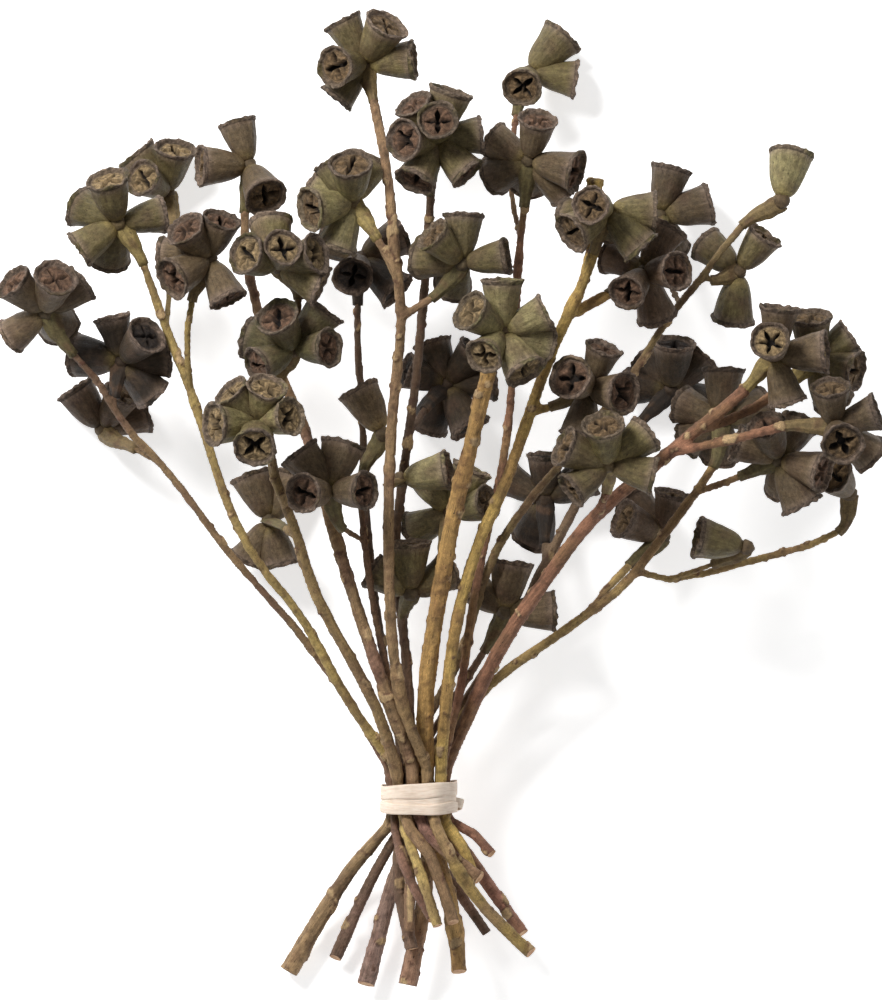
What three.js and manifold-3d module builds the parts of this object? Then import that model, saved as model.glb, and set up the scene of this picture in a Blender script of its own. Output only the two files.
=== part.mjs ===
// A hand-tied bunch of dried eucalyptus seed capsules, lying on its back.
// Units are millimetres, +Z up. The heads point to +Y and the cut ends to -Y.
import * as THREE from "three";
import { mergeVertices } from "three/addons/utils/BufferGeometryUtils.js";
import Module from "manifold-3d";

// ---------------------------------------------------------------- driving dimensions
const BUNCH_LENGTH = 380;
const BUNCH_WIDTH = 332;
const BUNCH_DEPTH = 120;
const CAPSULE_LENGTH = 17;
const CAPSULE_MOUTH_DIAMETER = 16;
const CAPSULE_BASE_DIAMETER = 4.2;
const CAPSULE_MOUTH_RECESS = 1.7;
const CAPSULE_SIDES = 6;
const PEDICEL_LENGTH = 1.9;
const HUB_DIAMETER = 6.8;
const STRAP_LENGTH = 17;
const STRAP_WIDTH = 6;
const STRAP_FOOT_WIDTH = 3;
const STRAP_THICKNESS = 2.4;
const STEM_THICKNESS = 1;
const STEM_SIDES = 6;
const BAND_WIDTH = 12.5;
const BAND_THICKNESS = 0.7;
const BAND_TURN_WIDTH = 5.6;
const BAND_TAIL_DIAMETER = 4.6;
const GAP = 0.3;

// The plan below is drawn for a bunch of these sizes, and is stretched to the sizes above.
const PLAN_LENGTH = 380;
const PLAN_WIDTH = 332;
const PLAN_DEPTH = 120;
// The tie sits at this station of the plan, and grips the stems around this point.
const TIE_Y = -113.5;
const TIE_X = -9.5;
const TIE_Z = 32;

// ---------------------------------------------------------------- the plan
// Each stem: slot is where it passes through the tie [x, z]. foot runs from the tie down to
// the cut end, and head runs from the tie up to the hub it carries. thick is the radius at
// the cut end, at the tie and at the top. A branch leaves its stem near "from" and runs to
// a hub. A hub carries the umbel of that name; a route that names none ends in a broken tip.
const STEMS = [
  {
    name: "left_outer", colour: "#6b5646", slot: [-22.6, 31.8], thick: [1.9, 1.8, 1.5],
    foot: [[-20, -121, 36], [-14, -140, 43], [-3, -161, 46]],
    head: [[-27, -98, 31], [-36, -76, 35], [-54, -51, 41], [-80, -21, 46], [-103, 10, 49],
      [-118, 26, 51], [-127, 42, 54], [-136, 52, 58], [-145, 67, 62]],
    umbel: "far_left",
    branches: [
      { from: [-107, 14, 49], route: [[-118, 20, 45], [-130, 27, 40]], umbel: "low_left" },
      { from: [-123, 36, 52], route: [[-121, 44, 52], [-118, 56, 50]], umbel: "left_inner" },
    ],
  },
  {
    name: "left_green", colour: "#8d8052", slot: [-19.6, 34.6], thick: [2.2, 2.0, 1.7],
    foot: [[-16, -122, 39], [-9, -138, 47], [-1, -163, 53]],
    head: [[-25, -91, 40], [-36, -76, 43], [-54, -44, 50], [-70, -24, 56], [-80, -6, 58],
      [-89, 19, 59], [-96, 40, 58], [-103, 57, 57], [-109, 73, 58], [-114, 88, 60],
      [-123, 103, 62]],
    umbel: "left_high",
    branches: [
      { from: [-96, 40, 58], route: [[-97, 61, 66], [-94, 76, 70], [-87, 90, 74]], umbel: "left_mid" },
      { from: [-106, 66, 58], route: [[-104, 84, 46], [-103, 100, 40], [-105, 118, 38]],
        umbel: "left_top" },
    ],
  },
  {
    name: "left_olive", colour: "#80714f", slot: [-15.2, 36.6], thick: [2.5, 2.4, 2.0],
    foot: [[-11, -123, 42], [-4, -136, 47], [5, -162, 50]],
    head: [[-19, -93, 44], [-23, -80, 49], [-32, -63, 56], [-48, -34, 66], [-57, -8, 72],
      [-66, 14, 76], [-69, 34, 78], [-67, 50, 80], [-63, 63, 84]],
    umbel: "centre_left",
    branches: [
      { from: [-66, 14, 76], route: [[-65, 24, 84], [-67, 34, 93]], umbel: "front_left" },
      { from: [-56, -12, 70], route: [[-60, -10, 58], [-66, -8, 44]], umbel: "left_low_pair" },
      { from: [-67, 48, 80], route: [[-56, 62, 76], [-54, 76, 80], [-61, 86, 92]],
        umbel: "cream_pair" },
    ],
  },
  {
    name: "mauve", colour: "#755c50", slot: [-9.9, 38.2], thick: [2.6, 2.8, 1.8],
    foot: [[-6, -121, 43], [0, -130, 45], [7, -139, 45], [15, -146, 44]],
    head: [[-16, -93, 47], [-20, -80, 49], [-29, -53, 52], [-38, -23, 54], [-45, 2, 50],
      [-52, 26, 46], [-63, 52, 46], [-72, 80, 50], [-75, 104, 54], [-73, 127, 58]],
    umbel: "trio",
    branches: [],
  },
  {
    name: "slim", colour: "#6d5a45", slot: [-13.6, 32.3], thick: [2.1, 1.8, 1.4],
    foot: [[-13, -124, 31], [-12, -142, 30], [-12, -166, 28]],
    head: [[-19, -86, 34], [-22, -57, 44], [-27, -27, 56], [-30, 0, 60], [-29, 12, 62],
      [-22, 25, 66]],
    umbel: "single_middle",
    branches: [
      { from: [-28, -21, 57], route: [[-35, -14, 68], [-42, 3, 82]], umbel: "star_pair" },
    ],
  },
  {
    name: "central", colour: "#78624d", slot: [-4.8, 40.3], thick: [2.5, 2.3, 2.0],
    foot: [[-2, -121, 45], [2, -136, 46], [14, -154, 41], [35, -174, 33]],
    head: [[-11, -93, 49], [-16, -76, 54], [-19, -53, 60], [-20, 0, 72], [-18, 38, 78],
      [-15, 68, 84], [-18, 100, 90], [-20, 122, 86], [-24, 144, 74], [-29, 166, 60]],
    umbel: "crown",
    branches: [
      { from: [-15, 66, 84], route: [[-4, 76, 86], [8, 90, 88]], umbel: "centre_fork" },
      { from: [-16, 86, 88], route: [[-22, 94, 88], [-35, 112, 82]], umbel: "upper_left" },
      { from: [-20, 2, 72], route: [[-19, 5, 64], [-14, 7, 56]], umbel: "single_right" },
    ],
  },
  {
    name: "back_dark", colour: "#4d4036", slot: [-18.4, 30.2], thick: [2.7, 1.7, 1.5],
    foot: [[-18, -124, 28], [-17, -142, 26], [-11, -173, 22]],
    head: [[-18, -80, 26], [-25, -40, 29], [-29, 0, 31], [-30, 30, 34], [-32, 65, 38],
      [-31, 92, 44]],
    umbel: "dark_star",
    branches: [],
  },
  {
    name: "back_middle", colour: "#57493b", slot: [-9.0, 30.9], thick: [2.1, 2.0, 1.8],
    foot: [[-7, -124, 27], [2, -142, 20], [18, -167, 14]],
    head: [[-10, -91, 30], [-13, -56, 35], [-16, -23, 42], [-13, 10, 49], [-9, 45, 58],
      [-6, 80, 70], [-4, 112, 82], [-2, 136, 96]],
    umbel: "top_star",
    branches: [
      { from: [-15, -46, 37], route: [[-14, -36, 42], [-12, -26, 48]], umbel: "upright_pair" },
      { from: [-12, 22, 52], route: [[-6, 34, 40], [2, 44, 27]], umbel: "shadow" },
    ],
  },
  {
    name: "golden_thick", colour: "#9a8250", slot: [-3.9, 34.2], thick: [3.1, 3.5, 3.0],
    foot: [[-3, -124, 34], [1, -146, 30], [5, -162, 26], [7, -182, 21]],
    head: [[-6, -92, 42], [-6, -76, 47], [-1, -38, 60], [6, 0, 74], [11, 20, 82],
      [17, 46, 94], [23, 65, 104]],
    umbel: "front_middle",
    branches: [
      { from: [0, -30, 62], route: [[1, -24, 55], [4, -12, 54]], umbel: "pale_pair" },
    ],
  },
  {
    name: "golden_slim", colour: "#9c8a4f", slot: [1.9, 36.8], thick: [2.3, 2.5, 2.2],
    foot: [[4, -121, 37], [8, -132, 38], [12, -143, 38]],
    head: [[1, -92, 45], [2, -76, 49], [6, -46, 56], [14, -17, 63], [25, 8, 70],
      [35, 38, 77], [43, 60, 82], [53, 82, 88], [61, 108, 95]],
    umbel: "upper_right",
    branches: [
      { from: [32, 28, 75], route: [[44, 36, 80], [56, 42, 86]], umbel: "right_stars" },
      { from: [45, 64, 83], route: [[60, 76, 80], [78, 87, 84]], umbel: "right_brown" },
      { from: [54, 88, 89], route: [[56, 104, 80], [56, 123, 76]], umbel: "" },
    ],
  },
  {
    name: "reddish", colour: "#725543", slot: [4.6, 33], thick: [2.1, 1.9, 1.6],
    foot: [[8, -121, 33], [13, -128, 34], [20, -136, 35]],
    head: [[5, -92, 38], [8, -72, 41], [12, -42, 46], [17, -12, 50], [24, 22, 54],
      [28, 62, 60], [30, 92, 66], [35, 128, 74]],
    umbel: "top_right_low",
    branches: [
      { from: [30, 98, 66], route: [[27, 118, 58], [28, 142, 50], [34, 164, 46]],
        umbel: "top_right_high" },
    ],
  },
  {
    name: "red_thick", colour: "#7a5a47", slot: [1.4, 29.2], thick: [2.5, 3.0, 2.5],
    foot: [[5, -123, 28], [15, -143, 25], [32, -167, 20]],
    head: [[7, -93, 34], [13, -74, 42], [24, -53, 52], [40, -30, 62], [57, -8, 71],
      [76, 8, 77], [95, 23, 82], [112, 36, 88], [126, 50, 98]],
    umbel: "star_right",
    branches: [
      { from: [54, -12, 69], route: [[62, 0, 84], [63, 13, 102]], umbel: "front_right" },
      { from: [97, 25, 82], route: [[118, 33, 80], [141, 52, 78]], umbel: "far_right" },
      { from: [88, 18, 80], route: [[112, 24, 88], [130, 30, 93], [147, 31, 96]],
        umbel: "far_right_star" },
    ],
  },
  {
    name: "right_green", colour: "#8f7f56", slot: [-6.6, 26.8], thick: [3.8, 2.2, 1.8],
    foot: [[-6, -124, 22], [-6, -148, 18], [-13, -187, 14]],
    head: [[3, -95, 24], [18, -71, 27], [34, -58, 34], [52, -45, 42], [70, -31, 50],
      [82, -16, 55], [95, 1, 57], [104, 14, 57], [107, 30, 55]],
    umbel: "right_mid",
    branches: [
      { from: [97, 4, 57], route: [[108, 8, 64], [118, 13, 70], [127, 18, 75]],
        umbel: "right_five" },
      { from: [72, -29, 50], route: [[88, -30, 46], [106, -26, 44], [126, -21, 47], [148, -13, 54],
        [150, 1, 64]], umbel: "right_tip" },
      { from: [88, -30, 46], route: [[104, -24, 58], [116, -18, 68]], umbel: "right_single" },
      { from: [60, -38, 45], route: [[70, -26, 34], [85, -14, 28]], umbel: "right_low" },
    ],
  },
  {
    name: "short_back", colour: "#665446", slot: [-16.6, 26], thick: [2.7, 1.9, 1.6],
    foot: [[-19, -123, 20], [-26, -144, 14], [-41, -177, 7]],
    head: [[-8, -97, 24], [4, -76, 25], [14, -60, 30], [22, -43, 38]],
    umbel: "short_pair",
    branches: [],
  },
  {
    name: "grey_back", colour: "#66584a", slot: [-12, 27], thick: [3.6, 2.3, 1.9],
    foot: [[-13, -123, 20], [-18, -146, 14], [-29, -187, 9]],
    head: [[-1, -94, 25], [14, -72, 27], [25, -56, 31], [34, -40, 35], [45, -17, 38], [56, 4, 40],
      [70, 22, 42], [88, 42, 40]],
    umbel: "right_dark",
    branches: [
      { from: [42, -22, 37], route: [[40, -12, 34], [40, 0, 30]], umbel: "behind" },
    ],
  },
  {
    name: "long_olive", colour: "#6f6446", slot: [-21.5, 27.4], thick: [3.8, 2.0, 1.5],
    foot: [[-26, -123, 21], [-36, -144, 13], [-59, -182, 6]],
    head: [[-14, -98, 27], [-2, -78, 30], [8, -58, 35], [18, -24, 43], [30, -4, 50], [47, 16, 56],
      [70, 44, 64], [84, 66, 70], [100, 86, 76], [114, 104, 80], [129, 113, 84]],
    umbel: "right_pale",
    branches: [
      { from: [97, 82, 75], route: [[104, 84, 74], [112, 88, 72]], umbel: "right_trio" },
      { from: [87, 70, 71], route: [[85, 88, 62], [84, 109, 56]], umbel: "right_upper_back" },
    ],
  },
];

// Each umbel: one pair per capsule, the way its mouth points: [bearing, rise] in degrees.
// Bearing 0 is +X and 90 is +Y; a rise of 90 faces straight up. low umbels rest on the floor.
const UMBELS = {
  far_left: { colour: "#76654f", mouths: [[137, 26], [70, 46], [38, -12], [215, -22], [305, -45]] },
  low_left: { colour: "#74644e", low: true, mouths: [[124, 5], [60, 25], [-6, 5]] },
  left_inner: { colour: "#6e614a", mouths: [[103, 5], [45, 42], [172, -20], [298, -10], [5, -12]] },
  left_high: { colour: "#75674f", mouths: [[104, 28], [157, -28], [12, -18], [214, 0], [255, -45]] },
  left_mid: { colour: "#7c7451", mouths: [[129, 38], [72, 26], [178, -15], [212, 30], [290, 12]] },
  left_top: { colour: "#7a6f54", low: true, mouths: [[150, 52], [129, 0], [79, 25]] },
  centre_left: { colour: "#7d7553", mouths: [[118, 45], [205, 30], [2, 40], [52, 0], [165, -20]] },
  front_left: { colour: "#7f7757", mouths: [[131, 22], [76, 38], [180, 32], [262, 60], [12, 44]] },
  left_low_pair: { colour: "#7b7156", low: true, mouths: [[112, -10], [60, -30], [285, 0],
    [240, -12]] },
  cream_pair: { colour: "#7a7052", mouths: [[156, 50], [64, 64], [20, 36], [100, -30], [320, -25]] },
  trio: { colour: "#7e7552", mouths: [[106, -8], [180, 15], [298, 45]] },
  single_middle: { colour: "#74674f", mouths: [[119, -8]] },
  star_pair: { colour: "#726850", mouths: [[182, 56], [2, 40], [75, -12], [128, -5]] },
  crown: { colour: "#7c7454", mouths: [[118, -4], [60, 30], [188, 52], [232, 2], [4, 8]] },
  upper_left: { colour: "#756c4f", mouths: [[93, 42], [122, -8], [66, -25], [190, 32], [250, 0],
    [152, -30]] },
  centre_fork: { colour: "#7c7454", mouths: [[136, 25], [88, -6], [170, -38], [232, -20], [10, 10]] },
  single_right: { colour: "#787257", mouths: [[11, 10]] },
  dark_star: { colour: "#4c433a", mouths: [[250, 66], [152, -12], [30, -20], [318, 14]] },
  top_star: { colour: "#7f7757", mouths: [[120, 34], [72, 8], [180, 52], [6, -4], [313, 12],
    [254, -4], [98, 62]] },
  upright_pair: { colour: "#6c624d", mouths: [[92, 8], [30, -28], [150, -10]] },
  shadow: { colour: "#43392f", low: true, mouths: [[108, -8], [50, 10], [300, 12], [245, -22],
    [160, 15], [5, -10]] },
  front_middle: { colour: "#83784f", mouths: [[147, 38], [90, 5], [24, -4], [232, 48], [300, 24],
    [345, -30]] },
  pale_pair: { colour: "#7d7656", mouths: [[64, 5], [16, 32], [205, -30], [120, -20]] },
  upper_right: { colour: "#80775a", mouths: [[190, 60], [228, 20], [292, -8], [354, -6],
    [262, -45], [205, -40]] },
  right_stars: { colour: "#73674e", mouths: [[150, 64], [352, 45], [70, 18], [225, -15]] },
  right_brown: { colour: "#71634c", mouths: [[0, 48], [230, 52], [62, -15], [286, -24], [180, -30]] },
  top_right_low: { colour: "#706a50", mouths: [[78, 30], [344, 18], [290, -18], [150, -25],
    [235, -30], [262, -40]] },
  top_right_high: { colour: "#80785b", low: true, mouths: [[48, -12], [352, -4], [248, 55]] },
  star_right: { colour: "#7b7157", mouths: [[112, 70], [84, 8], [4, 8], [286, -10]] },
  front_right: { colour: "#7c7455", mouths: [[97, 36], [40, -16], [347, 0], [214, 16], [157, 20]] },
  far_right: { colour: "#776e54", mouths: [[94, 22], [34, -4], [348, 26], [300, -35]] },
  far_right_star: { colour: "#7a7055", mouths: [[19, 8], [296, 68], [324, -26], [95, 30]] },
  right_mid: { colour: "#6b614b", mouths: [[88, -4], [168, -28], [222, -18], [262, -22], [20, -35]] },
  right_five: { colour: "#736a52", mouths: [[112, 36], [186, -14], [297, -6], [344, 26],
    [240, -48], [60, -30]] },
  right_tip: { colour: "#756b54", mouths: [[132, 55]] },
  right_single: { colour: "#7a7459", mouths: [[178, -4]] },
  right_low: { colour: "#6d644e", low: true, mouths: [[76, 12], [190, 24], [130, -30]] },
  short_pair: { colour: "#6d644e", mouths: [[81, -4], [2, -5], [140, -20]] },
  right_dark: { colour: "#574c3e", low: true, mouths: [[48, -8], [128, -28], [340, -34], [85, 20],
    [200, -10]] },
  behind: { colour: "#4f463b", low: true, mouths: [[150, -20], [258, -26], [30, -10], [90, 10]] },
  right_pale: { colour: "#85805f", mouths: [[78, -18]] },
  right_trio: { colour: "#7a7156", mouths: [[54, 14], [140, -24], [263, -20]] },
  right_upper_back: { colour: "#6f6751", low: true, mouths: [[76, -4], [14, -8], [279, -14],
    [200, -10]] },
};

// ---------------------------------------------------------------- how the parts are set out
const CELL_SIDE = 26;
const OPENING_ROUNDS = 60;
const HUB_SHARE = [0.4, 1];
const LEAST_LOAD = 0.5;
const LEAST_RISE = 0.05;
const FLOOR_SHARE = 0.5;
const FLOOR_GAP = 0.2;
const PULLED_SMOOTHING = 0.3;
const FREE_SMOOTHING = 0.04;
const HUB_RANK = 1000;
const TWIG_SHARE = 0.8;
const TWIG_THICKEST = 1.9;
const GRIP_STEP = 0.1;
const GRIP_SIDES = 16;
const GRIP_REACH = 1.5;
const BAND_CORNERS = 20;
const PACK_ROUNDS = 1500;
const PACK_PULLED_ROUNDS = 1200;
const PACK_PULL = 0.002;
const PACK_SIDE_SHARE = 1.1;
const PACK_PASSES = 4;
const RING_STEP = 13;
const STRAP_RING_STEP = 8;
const PROBE_STEP = 2.2;
const PACKED_PROBE_STEP = 0.9;
const PACKED_REACH = 22;
const FIRST_GROWTH = 0.08;
const GROWING_ROUNDS = 300;
const PULLED_ROUNDS = 420;
const MOST_ROUNDS = 900;
const CLEAR_ENOUGH = 0.06;
const LIST_ROUNDS = 10;
const LIST_REACH = 9;
const PLAN_PULL = 0.03;
const SIDEWAYS_SHARE = 0.45;
const REST_DROP = 0.25;
const MOUTH_SPREAD = 47;
const STRAP_SPREAD = 58;
const PUSH_SHARE = 1.3;
const SAFETY = 0.15;
const LEAST_WOOD = 3;
const BROKEN_TIP_WIDTH = 8.4;
const JOINT_TOLERANCE = 0.04;

const stretch = new THREE.Vector3(
  BUNCH_WIDTH / PLAN_WIDTH, BUNCH_LENGTH / PLAN_LENGTH, BUNCH_DEPTH / PLAN_DEPTH);
const UP = new THREE.Vector3(0, 0, 1);

function planPoint([x, y, z]) {
  return new THREE.Vector3(x, y, z).multiply(stretch);
}

function direction(bearing, rise) {
  const b = THREE.MathUtils.degToRad(bearing);
  const r = THREE.MathUtils.degToRad(rise);
  return new THREE.Vector3(Math.cos(r) * Math.cos(b), Math.cos(r) * Math.sin(b), Math.sin(r));
}

// Turns b away from a, about the line between them, until they stand `degrees` apart.
function spreadFrom(a, b, degrees, share) {
  const short = THREE.MathUtils.degToRad(degrees) - a.angleTo(b);
  if (short <= 0) return;
  const axis = a.clone().cross(b);
  if (axis.lengthSq() < 1e-9) axis.set(1, 0, 0);
  b.applyAxisAngle(axis.normalize(), short * share);
}

// Packs the stems' sections at the tie into a flattened bundle, each touching its neighbours.
function packSlots(stems) {
  const slots = stems.map((stem) => ({
    x: stem.slot[0],
    z: stem.slot[1],
    r: stem.thick[1] * STEM_THICKNESS + (GAP + SAFETY) / 2,
  }));
  for (let round = 0; round < PACK_ROUNDS; round += 1) {
    const pull = round < PACK_PULLED_ROUNDS ? PACK_PULL : 0;
    for (const s of slots) {
      s.x += (TIE_X - s.x) * pull * PACK_SIDE_SHARE;
      s.z += (TIE_Z - s.z) * pull;
    }
    for (let pass = 0; pass < PACK_PASSES; pass += 1) {
      for (let i = 0; i < slots.length; i += 1) {
        for (let j = i + 1; j < slots.length; j += 1) {
          const dx = slots[j].x - slots[i].x;
          const dz = slots[j].z - slots[i].z;
          const d = Math.hypot(dx, dz) || 0.001;
          const over = slots[i].r + slots[j].r - d;
          if (over > 0) {
            const k = over / 2 / d;
            slots[i].x -= dx * k;
            slots[i].z -= dz * k;
            slots[j].x += dx * k;
            slots[j].z += dz * k;
          }
        }
      }
    }
  }
  return slots;
}

// Points along a smooth curve through the given ones, about `step` apart.
function along(points, step) {
  const curve = new THREE.CatmullRomCurve3(points, false, "centripetal");
  const count = Math.max(2, Math.round(curve.getLength() / step));
  return curve.getSpacedPoints(count);
}

function nearestIndex(points, target) {
  let best = 0;
  for (let i = 1; i < points.length; i += 1) {
    if (points[i].distanceTo(target) < points[best].distanceTo(target)) best = i;
  }
  return best;
}

// A route is a chain of points. The last few carry the flattened stalk (strap) of its umbel.
function makeRoute(points, radii, stemIndex, umbel) {
  return {
    points, radii, stemIndex, umbel, plan: points.map((p) => p.clone()),
    fixed: points.map(() => 0), strapFrom: points.length, parent: null,
    push: points.map(() => new THREE.Vector3()), load: points.map(() => 0),
  };
}

// Splits a route's length into the woody part and the strap, and gives each point its radius.
function routePoints(controls, strapLength, hostRadius) {
  const curve = new THREE.CatmullRomCurve3(controls, false, "centripetal");
  const length = curve.getLength();
  const strap = Math.min(strapLength, length - hostRadius - LEAST_WOOD);
  const woodCount = Math.max(1, Math.round((length - strap) / RING_STEP));
  const strapCount = strap > 0 ? Math.max(2, Math.round(strap / STRAP_RING_STEP)) : 0;
  const points = [];
  for (let i = 0; i <= woodCount; i += 1) {
    points.push(curve.getPointAt(Math.min(1, ((length - strap) * i) / woodCount / length)));
  }
  for (let i = 1; i <= strapCount; i += 1) {
    points.push(curve.getPointAt(Math.min(1, (length - strap + (strap * i) / strapCount) / length)));
  }
  return { points, strapFrom: woodCount };
}

function buildRoutes() {
  const slots = packSlots(STEMS);
  const routes = [];
  STEMS.forEach((stem, index) => {
    const slot = slots[index];
    const tie = new THREE.Vector3(slot.x, TIE_Y * stretch.y, slot.z);
    const below = tie.clone().add(new THREE.Vector3(0, -BAND_WIDTH / 2, 0));
    const above = tie.clone().add(new THREE.Vector3(0, BAND_WIDTH / 2, 0));
    const foot = stem.foot.slice(1).map(planPoint);
    const head = stem.head.slice(1).map(planPoint);
    const lower = along([...foot.reverse(), below, tie], RING_STEP);
    const upper = routePoints([tie, above, ...head], stem.umbel ? STRAP_LENGTH : 0, 0);
    const points = [...lower.slice(0, -1), ...upper.points];
    const tieAt = lower.length - 1;
    const radii = points.map((p, i) => {
      const [low, mid, top] = stem.thick;
      const woodEnd = tieAt + upper.strapFrom;
      const t = i < tieAt ? i / tieAt : Math.min(1, (i - tieAt) / (woodEnd - tieAt));
      return STEM_THICKNESS * (i < tieAt ? low + (mid - low) * t : mid + (top - mid) * t);
    });
    const route = makeRoute(points, radii, index, stem.umbel);
    route.strapFrom = stem.umbel ? tieAt + upper.strapFrom : points.length;
    route.fixed[tieAt] = 1;
    routes.push(route);
    for (const branch of stem.branches) {
      const host = routes.filter((r) => r.stemIndex === index).reduce((best, r) => {
        const at = planPoint(branch.from);
        const d = (q) => q.points[nearestIndex(q.points, at)].distanceTo(at);
        return d(r) < d(best) - 0.01 ? r : best;
      });
      const joint = Math.min(nearestIndex(host.points, planPoint(branch.from)), host.strapFrom - 1);
      const start = host.points[joint].clone();
      const made = routePoints([start, ...branch.route.map(planPoint)],
        branch.umbel ? STRAP_LENGTH : 0, host.radii[joint]);
      const root = Math.min(host.radii[joint] * TWIG_SHARE, TWIG_THICKEST * STEM_THICKNESS);
      const twig = makeRoute(made.points, made.points.map(() => root), index, branch.umbel);
      twig.strapFrom = branch.umbel ? made.strapFrom : made.points.length;
      twig.parent = { host, joint };
      routes.push(twig);
    }
  });
  return routes;
}

// Turns an umbel's capsules apart from each other and from the strap they stand on.
function openMouths(route) {
  const n = route.points.length;
  const back = route.points[n - 3].clone().sub(route.points[n - 1]).normalize();
  const mouths = UMBELS[route.umbel].mouths.map(([b, r]) => direction(b, r));
  for (let round = 0; round < OPENING_ROUNDS; round += 1) {
    for (let i = 0; i < mouths.length; i += 1) {
      spreadFrom(back, mouths[i], STRAP_SPREAD, 1);
      for (let j = i + 1; j < mouths.length; j += 1) {
        const kept = mouths[i].clone();
        spreadFrom(mouths[j], mouths[i], MOUTH_SPREAD, 0.5);
        spreadFrom(kept, mouths[j], MOUTH_SPREAD, 0.5);
      }
    }
  }
  return mouths;
}

// A capsule's size differs a little from its neighbour's.
function capsuleSize(umbelIndex, mouthIndex) {
  return 1 + 0.07 * Math.sin(umbelIndex * 2.4 + mouthIndex * 1.7);
}

// ---------------------------------------------------------------- settling
// Every part is covered with balls. Balls of different parts are pushed apart, mostly up and
// down, until they stand clear of each other, while the plan pulls the parts back. The balls
// start small and grow, so that each stem stays over or under its neighbours as planned.
function makeProbes(routes, hubs) {
  const probes = [];
  routes.forEach((route, r) => {
    for (let i = 0; i + 1 < route.points.length; i += 1) {
      const strap = i >= route.strapFrom;
      const reach = route.points[i].distanceTo(route.points[i + 1]);
      const packed = Math.abs(route.points[i].y - TIE_Y * stretch.y) < PACKED_REACH;
      const steps = Math.max(1, Math.ceil(reach / (packed ? PACKED_PROBE_STEP : PROBE_STEP)));
      for (let s = 0; s < steps; s += 1) {
        const f = (s + 0.5) / steps;
        const broken = !route.umbel && i === route.points.length - 2;
        const wood = route.radii[i] * (1 - f) + route.radii[i + 1] * f;
        const radius = strap ? STRAP_WIDTH / 2 : broken ? BROKEN_TIP_WIDTH / 2 : wood;
        probes.push({
          at: new THREE.Vector3(), route, i, f, radius, offset: null, step: reach / steps,
          node: strap ? `umbel ${route.umbel}` : `stem ${route.stemIndex}`,
          soft: strap && (i - route.strapFrom) * STRAP_RING_STEP < STRAP_LENGTH / 2
            ? `stem ${route.stemIndex}` : "",
          rank: r,
        });
      }
    }
  });
  const R = CAPSULE_MOUTH_DIAMETER / 2;
  for (const hub of hubs) {
    const last = hub.route.points.length - 1;
    const add = (offset, radius) => probes.push({
      at: new THREE.Vector3(), route: hub.route, i: last - 1, f: 1, radius, offset, step: 0,
      node: `umbel ${hub.name}`, soft: "", rank: HUB_RANK,
    });
    add(new THREE.Vector3(), HUB_DIAMETER / 2);
    hub.mouths.forEach((mouth, k) => {
      const size = hub.sizes[k];
      const L = CAPSULE_LENGTH * size;
      add(mouth.clone().multiplyScalar(PEDICEL_LENGTH + L * 0.83), Math.hypot(R * size, L * 0.17));
      add(mouth.clone().multiplyScalar(PEDICEL_LENGTH + L * 0.45), R * size * 0.8);
      add(mouth.clone().multiplyScalar(PEDICEL_LENGTH + L * 0.15), R * size * 0.55);
    });
  }
  return probes;
}

function placeProbe(probe) {
  const { points } = probe.route;
  probe.at.copy(points[probe.i]).lerp(points[probe.i + 1], probe.f);
  if (probe.offset) probe.at.add(probe.offset);
}

function nearPairs(probes) {
  const cells = new Map();
  const key = (x, y, z) => (x + 500) * 1000000 + (y + 500) * 1000 + (z + 500);
  probes.forEach((p, index) => {
    const k = key(...p.at.toArray().map((v) => Math.floor(v / CELL_SIDE)));
    if (!cells.has(k)) cells.set(k, []);
    cells.get(k).push(index);
  });
  const pairs = [];
  probes.forEach((p, index) => {
    const [cx, cy, cz] = p.at.toArray().map((v) => Math.floor(v / CELL_SIDE));
    for (let n = 0; n < 27; n += 1) {
      const x = cx + (n % 3) - 1;
      const y = cy + (Math.floor(n / 3) % 3) - 1;
      const z = cz + Math.floor(n / 9) - 1;
      for (const other of cells.get(key(x, y, z)) ?? []) {
        const q = probes[other];
        if (other <= index || p.node === q.node || p.soft === q.node || q.soft === p.node) continue;
        if (p.at.distanceTo(q.at) < p.radius + q.radius + LIST_REACH) pairs.push([p, q]);
      }
    }
  });
  return pairs;
}

// Notes a push on the two points that hold a ball. A point pushed by many balls at once
// moves by the mean of their pushes, so that it never jumps over a neighbour.
function shove(probe, move) {
  const weights = probe.offset ? HUB_SHARE : [1 - probe.f, probe.f];
  for (let k = 0; k < 2; k += 1) {
    probe.route.push[probe.i + k].addScaledVector(move, weights[k]);
    probe.route.load[probe.i + k] += weights[k];
  }
}

function applyPushes(route) {
  route.points.forEach((point, i) => {
    if (!route.fixed[i] && route.load[i] > 0) {
      point.addScaledVector(route.push[i], PUSH_SHARE / Math.max(route.load[i], LEAST_LOAD));
    }
    route.push[i].set(0, 0, 0);
    route.load[i] = 0;
  });
}

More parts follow.
